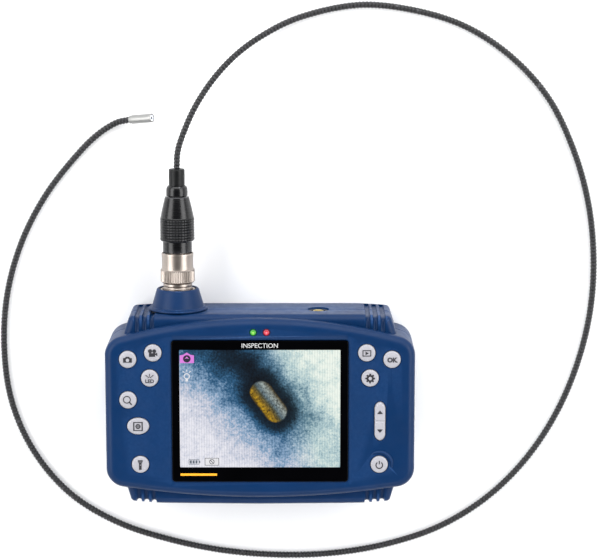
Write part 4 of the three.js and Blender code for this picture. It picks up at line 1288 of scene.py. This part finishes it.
def window_and_picture():
    lo, hi = low("display_window"), high("display_window")
    size = hi - lo
    top = hi[2]
    stages = [(0, lo[2]), (0, top - 0.22), (0.07, top - 0.07), (0.22, top), (0.7, top)]
    window = make_object("window_glass", *bevelled(rectangle_outline(size[0], size[1], 1.2), stages))
    combine(window, [solid(bevelled(picture_outline(0.15), [(0, 30), (0, 40)]))])
    stand_for(window, "display_window")
    even_normals(window)
    picture = make_object("display_picture", *bevelled(picture_outline(0.1), [(0, 32.6), (0, PICTURE_TOP)]))
    finish(picture, picture_paint())
    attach(picture, "handset")

    display_marks()
    at = (0.0, (high("display_window")[1] + DISPLAY_Y + PICTURE_HALF_HEIGHT) / 2)
    printed = (top - 0.1, top + 0.02)
    lettering("window_words", "INSPECTION", at, 2.0, "handset", PRINT_WHITE, printed)
    mark("window_bar", [rect(-35.0, -28.9, -19.0, -27.9)], (0, 0), "handset", PRINT_AMBER, printed)


def display_marks():
    """Generic icons on the picture, placed from its lower left corner."""
    pink, white, dark, grey = (glow_ink(f"{name}_light", colour) for name, colour in (
        ("pink", 0xf08cf2), ("white", 0xf4f4f8), ("dark", 0x26283a), ("grey", 0x66707c)))

    def icon(name, x, y, shapes, ink, rise):
        at = (x - PICTURE_HALF_WIDTH, DISPLAY_Y - PICTURE_HALF_HEIGHT + y)
        mark(f"screen_{name}", shapes, at, "handset", ink, (PICTURE_TOP - 0.1, PICTURE_TOP + rise))

    shell = [(-3.1, -2.3), (3.1, -2.3), (3.1, 1.1), (1.5, 1.4), (0, 2.4), (-1.5, 1.4), (-3.1, 1.1)]
    icon("camera", 3.2, 49.0, [shell], pink, 0.03)
    icon("camera_lens", 3.2, 49.0, [disc(0, -0.4, 1.65)], dark, 0.05)
    icon("camera_glint", 3.2, 49.0, [[(-1.0, -0.5), (0, 0.6), (1.0, -0.5), (0, -0.1)]], pink, 0.07)
    rays = [bar(1.5 * math.cos(a), 1.5 * math.sin(a), 2.4 * math.cos(a), 2.4 * math.sin(a), 0.34)
            for a in np.radians([45, 90, 135])]
    bulb = [band(0, -0.6, 1.15, 0.42), rect(-0.55, -2.9, 0.55, -1.8), *rays]
    icon("bulb", 3.1, 41.4, bulb, white, 0.03)
    cells = [rect(-1.9 + 1.25 * i, -0.7, -1.05 + 1.25 * i, 0.7) for i in range(3)]
    case = (rect(-2.4, -1.15, 2.2, 1.15), rect(-2.2, -0.95, 2.0, 0.95))
    icon("battery", 6.0, 2.3, [case, rect(2.25, -0.5, 2.7, 0.5), *cells], grey, 0.03)
    icon("box", 13.8, 2.4, [block(3.1, 1.7)], white, 0.03)
    no_card = [(block(3.1, 1.7), block(2.9, 1.5)), band(0, 0, 1.0, 0.26), bar(-0.65, 0.65, 0.65, -0.65, 0.26)]
    icon("no_card", 13.8, 2.4, no_card, dark, 0.05)


def lamps():
    for name in LAMPS:
        x, y = middle(name)[:2]
        profile = [(0, 28.5), (LAMP_RADIUS, 28.5), (LAMP_RADIUS, 35.7)]
        profile += [(LAMP_RADIUS * math.cos(a), 35.7 + 0.8 * math.sin(a))
                    for a in np.linspace(0.15, math.pi / 2, 9)]
        lamp = make_object(f"{name}_lens", *turned(profile, along_z(x, y), 40), angle=45)
        stand_for(lamp, name)


# ------------------------------------------------------------------ socket, jack and plug

def turned_piece(name, node, profile, x, radius=0.15, steps=96, angle=32, **options):
    shape = rounded(profile, radius) if radius else profile
    piece = make_object(name, *turned(shape, along_y(x, PARTING_Z), steps, **options), angle=angle)
    stand_for(piece, node)
    return piece


KNURL_PITCH = 1.2
KNURL_LOW, KNURL_HIGH = 73.2, 82.9
FLUTES_LOW, FLUTES_HIGH = 54.85, 59.9


def fluted(radius, height, angle):
    """Flutes round the locking sleeve's front half."""
    if radius < 7.4 or not FLUTES_LOW < height < FLUTES_HIGH:
        return 0.0
    return 0.26 * (0.5 - 0.5 * math.cos(54 * angle)) ** 0.6


def knurled(radius, height, angle):
    """Rows of small square studs; the grooves round the grip are deeper than those along it."""
    if radius < 7.5 or not KNURL_LOW < height < KNURL_HIGH:
        return 0.0
    around = abs(math.sin(41 * angle / 2))
    along = abs(math.sin(math.pi * (height - KNURL_LOW) / KNURL_PITCH))
    return 0.42 * (1 - min(min(along, 0.35 + 0.65 * around) * 1.3, 1.0))


def socket_and_plug():
    """Profiles are (radius, height) pairs, with the height along +Y in the CAD frame."""
    collar = [(SOCKET_BORE, 42.3), (12.9, 42.3), (13.1, 42.5), (13.05, 42.9), (12.7, 43.25), (11.75, 43.4),
              (11.45, 43.7), (9.3, 51.2), (8.9, 51.6), (8.25, 51.6), (8.1, 51.3), (8.1, 49.0),
              (SOCKET_BORE, 49.0), (SOCKET_BORE, 42.3)]
    turned_piece("socket_cone", "socket_collar", collar, PLUG_X, 0.2, 128, 40)
    shell = [(0, 30), (6.4, 30), (6.4, 51.9), (6.1, 52.2), (6.1, 52.6), (6.4, 52.9), (6.4, 54), (5.3, 54),
             (5.3, 32.6), (0, 32.6)]
    turned_piece("socket_tube", "socket_shell", shell, PLUG_X)
    trim = [(SOCKET_BORE, 49.4), (7.8, 49.4), (7.8, 51.0), (7.5, 51.3), (SOCKET_BORE, 51.1),
            (SOCKET_BORE, 49.4)]
    turned_piece("socket_trim", "socket_trim_ring", trim, PLUG_X)

    jack = [(0, 30), (4.5, 30), (4.5, 41.3), (3.5, 41.3), (3.3, 41.1), (3.3, 39.8), (1.9, 39.8), (1.9, 32),
            (0, 32)]
    turned_piece("jack_body", "charge_jack", jack, JACK_X, 0.12)
    bushing = [(1.9, 39.9), (3.0, 39.9), (3.0, 40.2), (2.35, 40.3), (2.35, 41.2), (2.2, 41.4), (1.9, 41.3),
               (1.9, 39.9)]
    turned_piece("jack_bushing", "charge_jack_bushing", bushing, JACK_X, 0.12)
    contact = rounded([(0, 31.8), (0.55, 31.8), (0.55, 40.9), (0, 41.3)], 0.2)
    pin = make_object("jack_pin", *turned(contact, along_y(JACK_X, PARTING_Z), 32))
    finish(pin, MATERIALS["brass"])
    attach(pin, "handset")

    rows = [(7.5, y) for y in np.arange(54.9, FLUTES_HIGH, 0.25)]
    sleeve = [(5.6, 54.3), (7.0, 54.3), (7.3, 54.5), (7.5, 54.8), *rows, (7.5, 59.95), (7.1, 60.3),
              (6.95, 60.8), (6.9, 62.0), (6.9, 65.2), (6.98, 66.2), (7.05, 66.9), (6.95, 67.3), (6.8, 67.4),
              (6.6, 67.4), (6.6, 55.9), (5.6, 55.9), (5.6, 54.3)]
    turned_piece("sleeve_ring", "locking_sleeve", sleeve, PLUG_X, 0, 432, 28, relief=fluted)
    barrel = [(4.2, 42.8), (4.9, 42.8), (4.9, 70), (4.2, 70), (4.2, 42.8)]
    turned_piece("barrel_tube", "plug_barrel", barrel, PLUG_X)

    rows = [(7.55, y) for y in np.arange(73.3, 82.85, 0.15)]
    grip = [(5.2, 67.8), (6.2, 67.8), (6.4, 68.0), (6.4, 72.5), (6.6, 72.8), (7.1, 72.9), (7.45, 73.2), *rows,
            (7.5, 82.95), (7.3, 83.2), (7.22, 83.6), (7.1, 84.3), (6.75, 86.1), (6.32, 88.0), (5.88, 89.9),
            (5.55, 91.3), (5.35, 92.1), (5.1, 92.4), (3.8, 92.4), (3.8, 70.3), (5.2, 70.3), (5.2, 67.8)]
    turned_piece("grip_tube", "plug_grip", grip, PLUG_X, 0, 328, 25, relief=knurled)
    nut = [(3.8, 92.7), (4.6, 92.7), (4.75, 92.9), (4.75, 94.8), (4.7, 95.6), (4.5, 96.4), (4.1, 97.0),
           (3.8, 97.1), (3.8, 92.7)]
    turned_piece("nut_ring", "clamp_nut", nut, PLUG_X, 0.1)
    relief = [(1.75, 88), (3.4, 88), (3.5, 88.3), (3.5, 103.9), (3.3, 104.5), (1.75, 104.7), (1.75, 88)]
    turned_piece("relief_tube", "strain_relief", relief, PLUG_X, 0.2)


def pack_contents():
    lo, hi = low("battery_pack"), high("battery_pack")
    middle_y = (lo[1] + hi[1]) / 2
    outline = rectangle_outline(hi[0] - lo[0], hi[1] - lo[1], 2.2, 0, middle_y)
    stages = [(0.6, lo[2]), (0, lo[2] + 0.6), (0, hi[2] - 0.6), (0.6, hi[2])]
    cell = make_object("battery_cell", *bevelled(outline, stages))
    contacts = [solid(box((-6 + 4 * i - 1, lo[1] - 1, hi[2] - 5), (-6 + 4 * i + 1, lo[1] + 0.4, hi[2] - 2)))
                for i in range(4)]
    combine(cell, contacts)
    stand_for(cell, "battery_pack")


front_casing()
rear_casing()
seam_lip()
port_flap()
side_ports()
battery_lid()
screws()
for name in ROUND_KEYS:
    round_key(name)
oval_key()
rocker_key()
key_marks()
window_and_picture()
lamps()
socket_and_plug()
pack_contents()
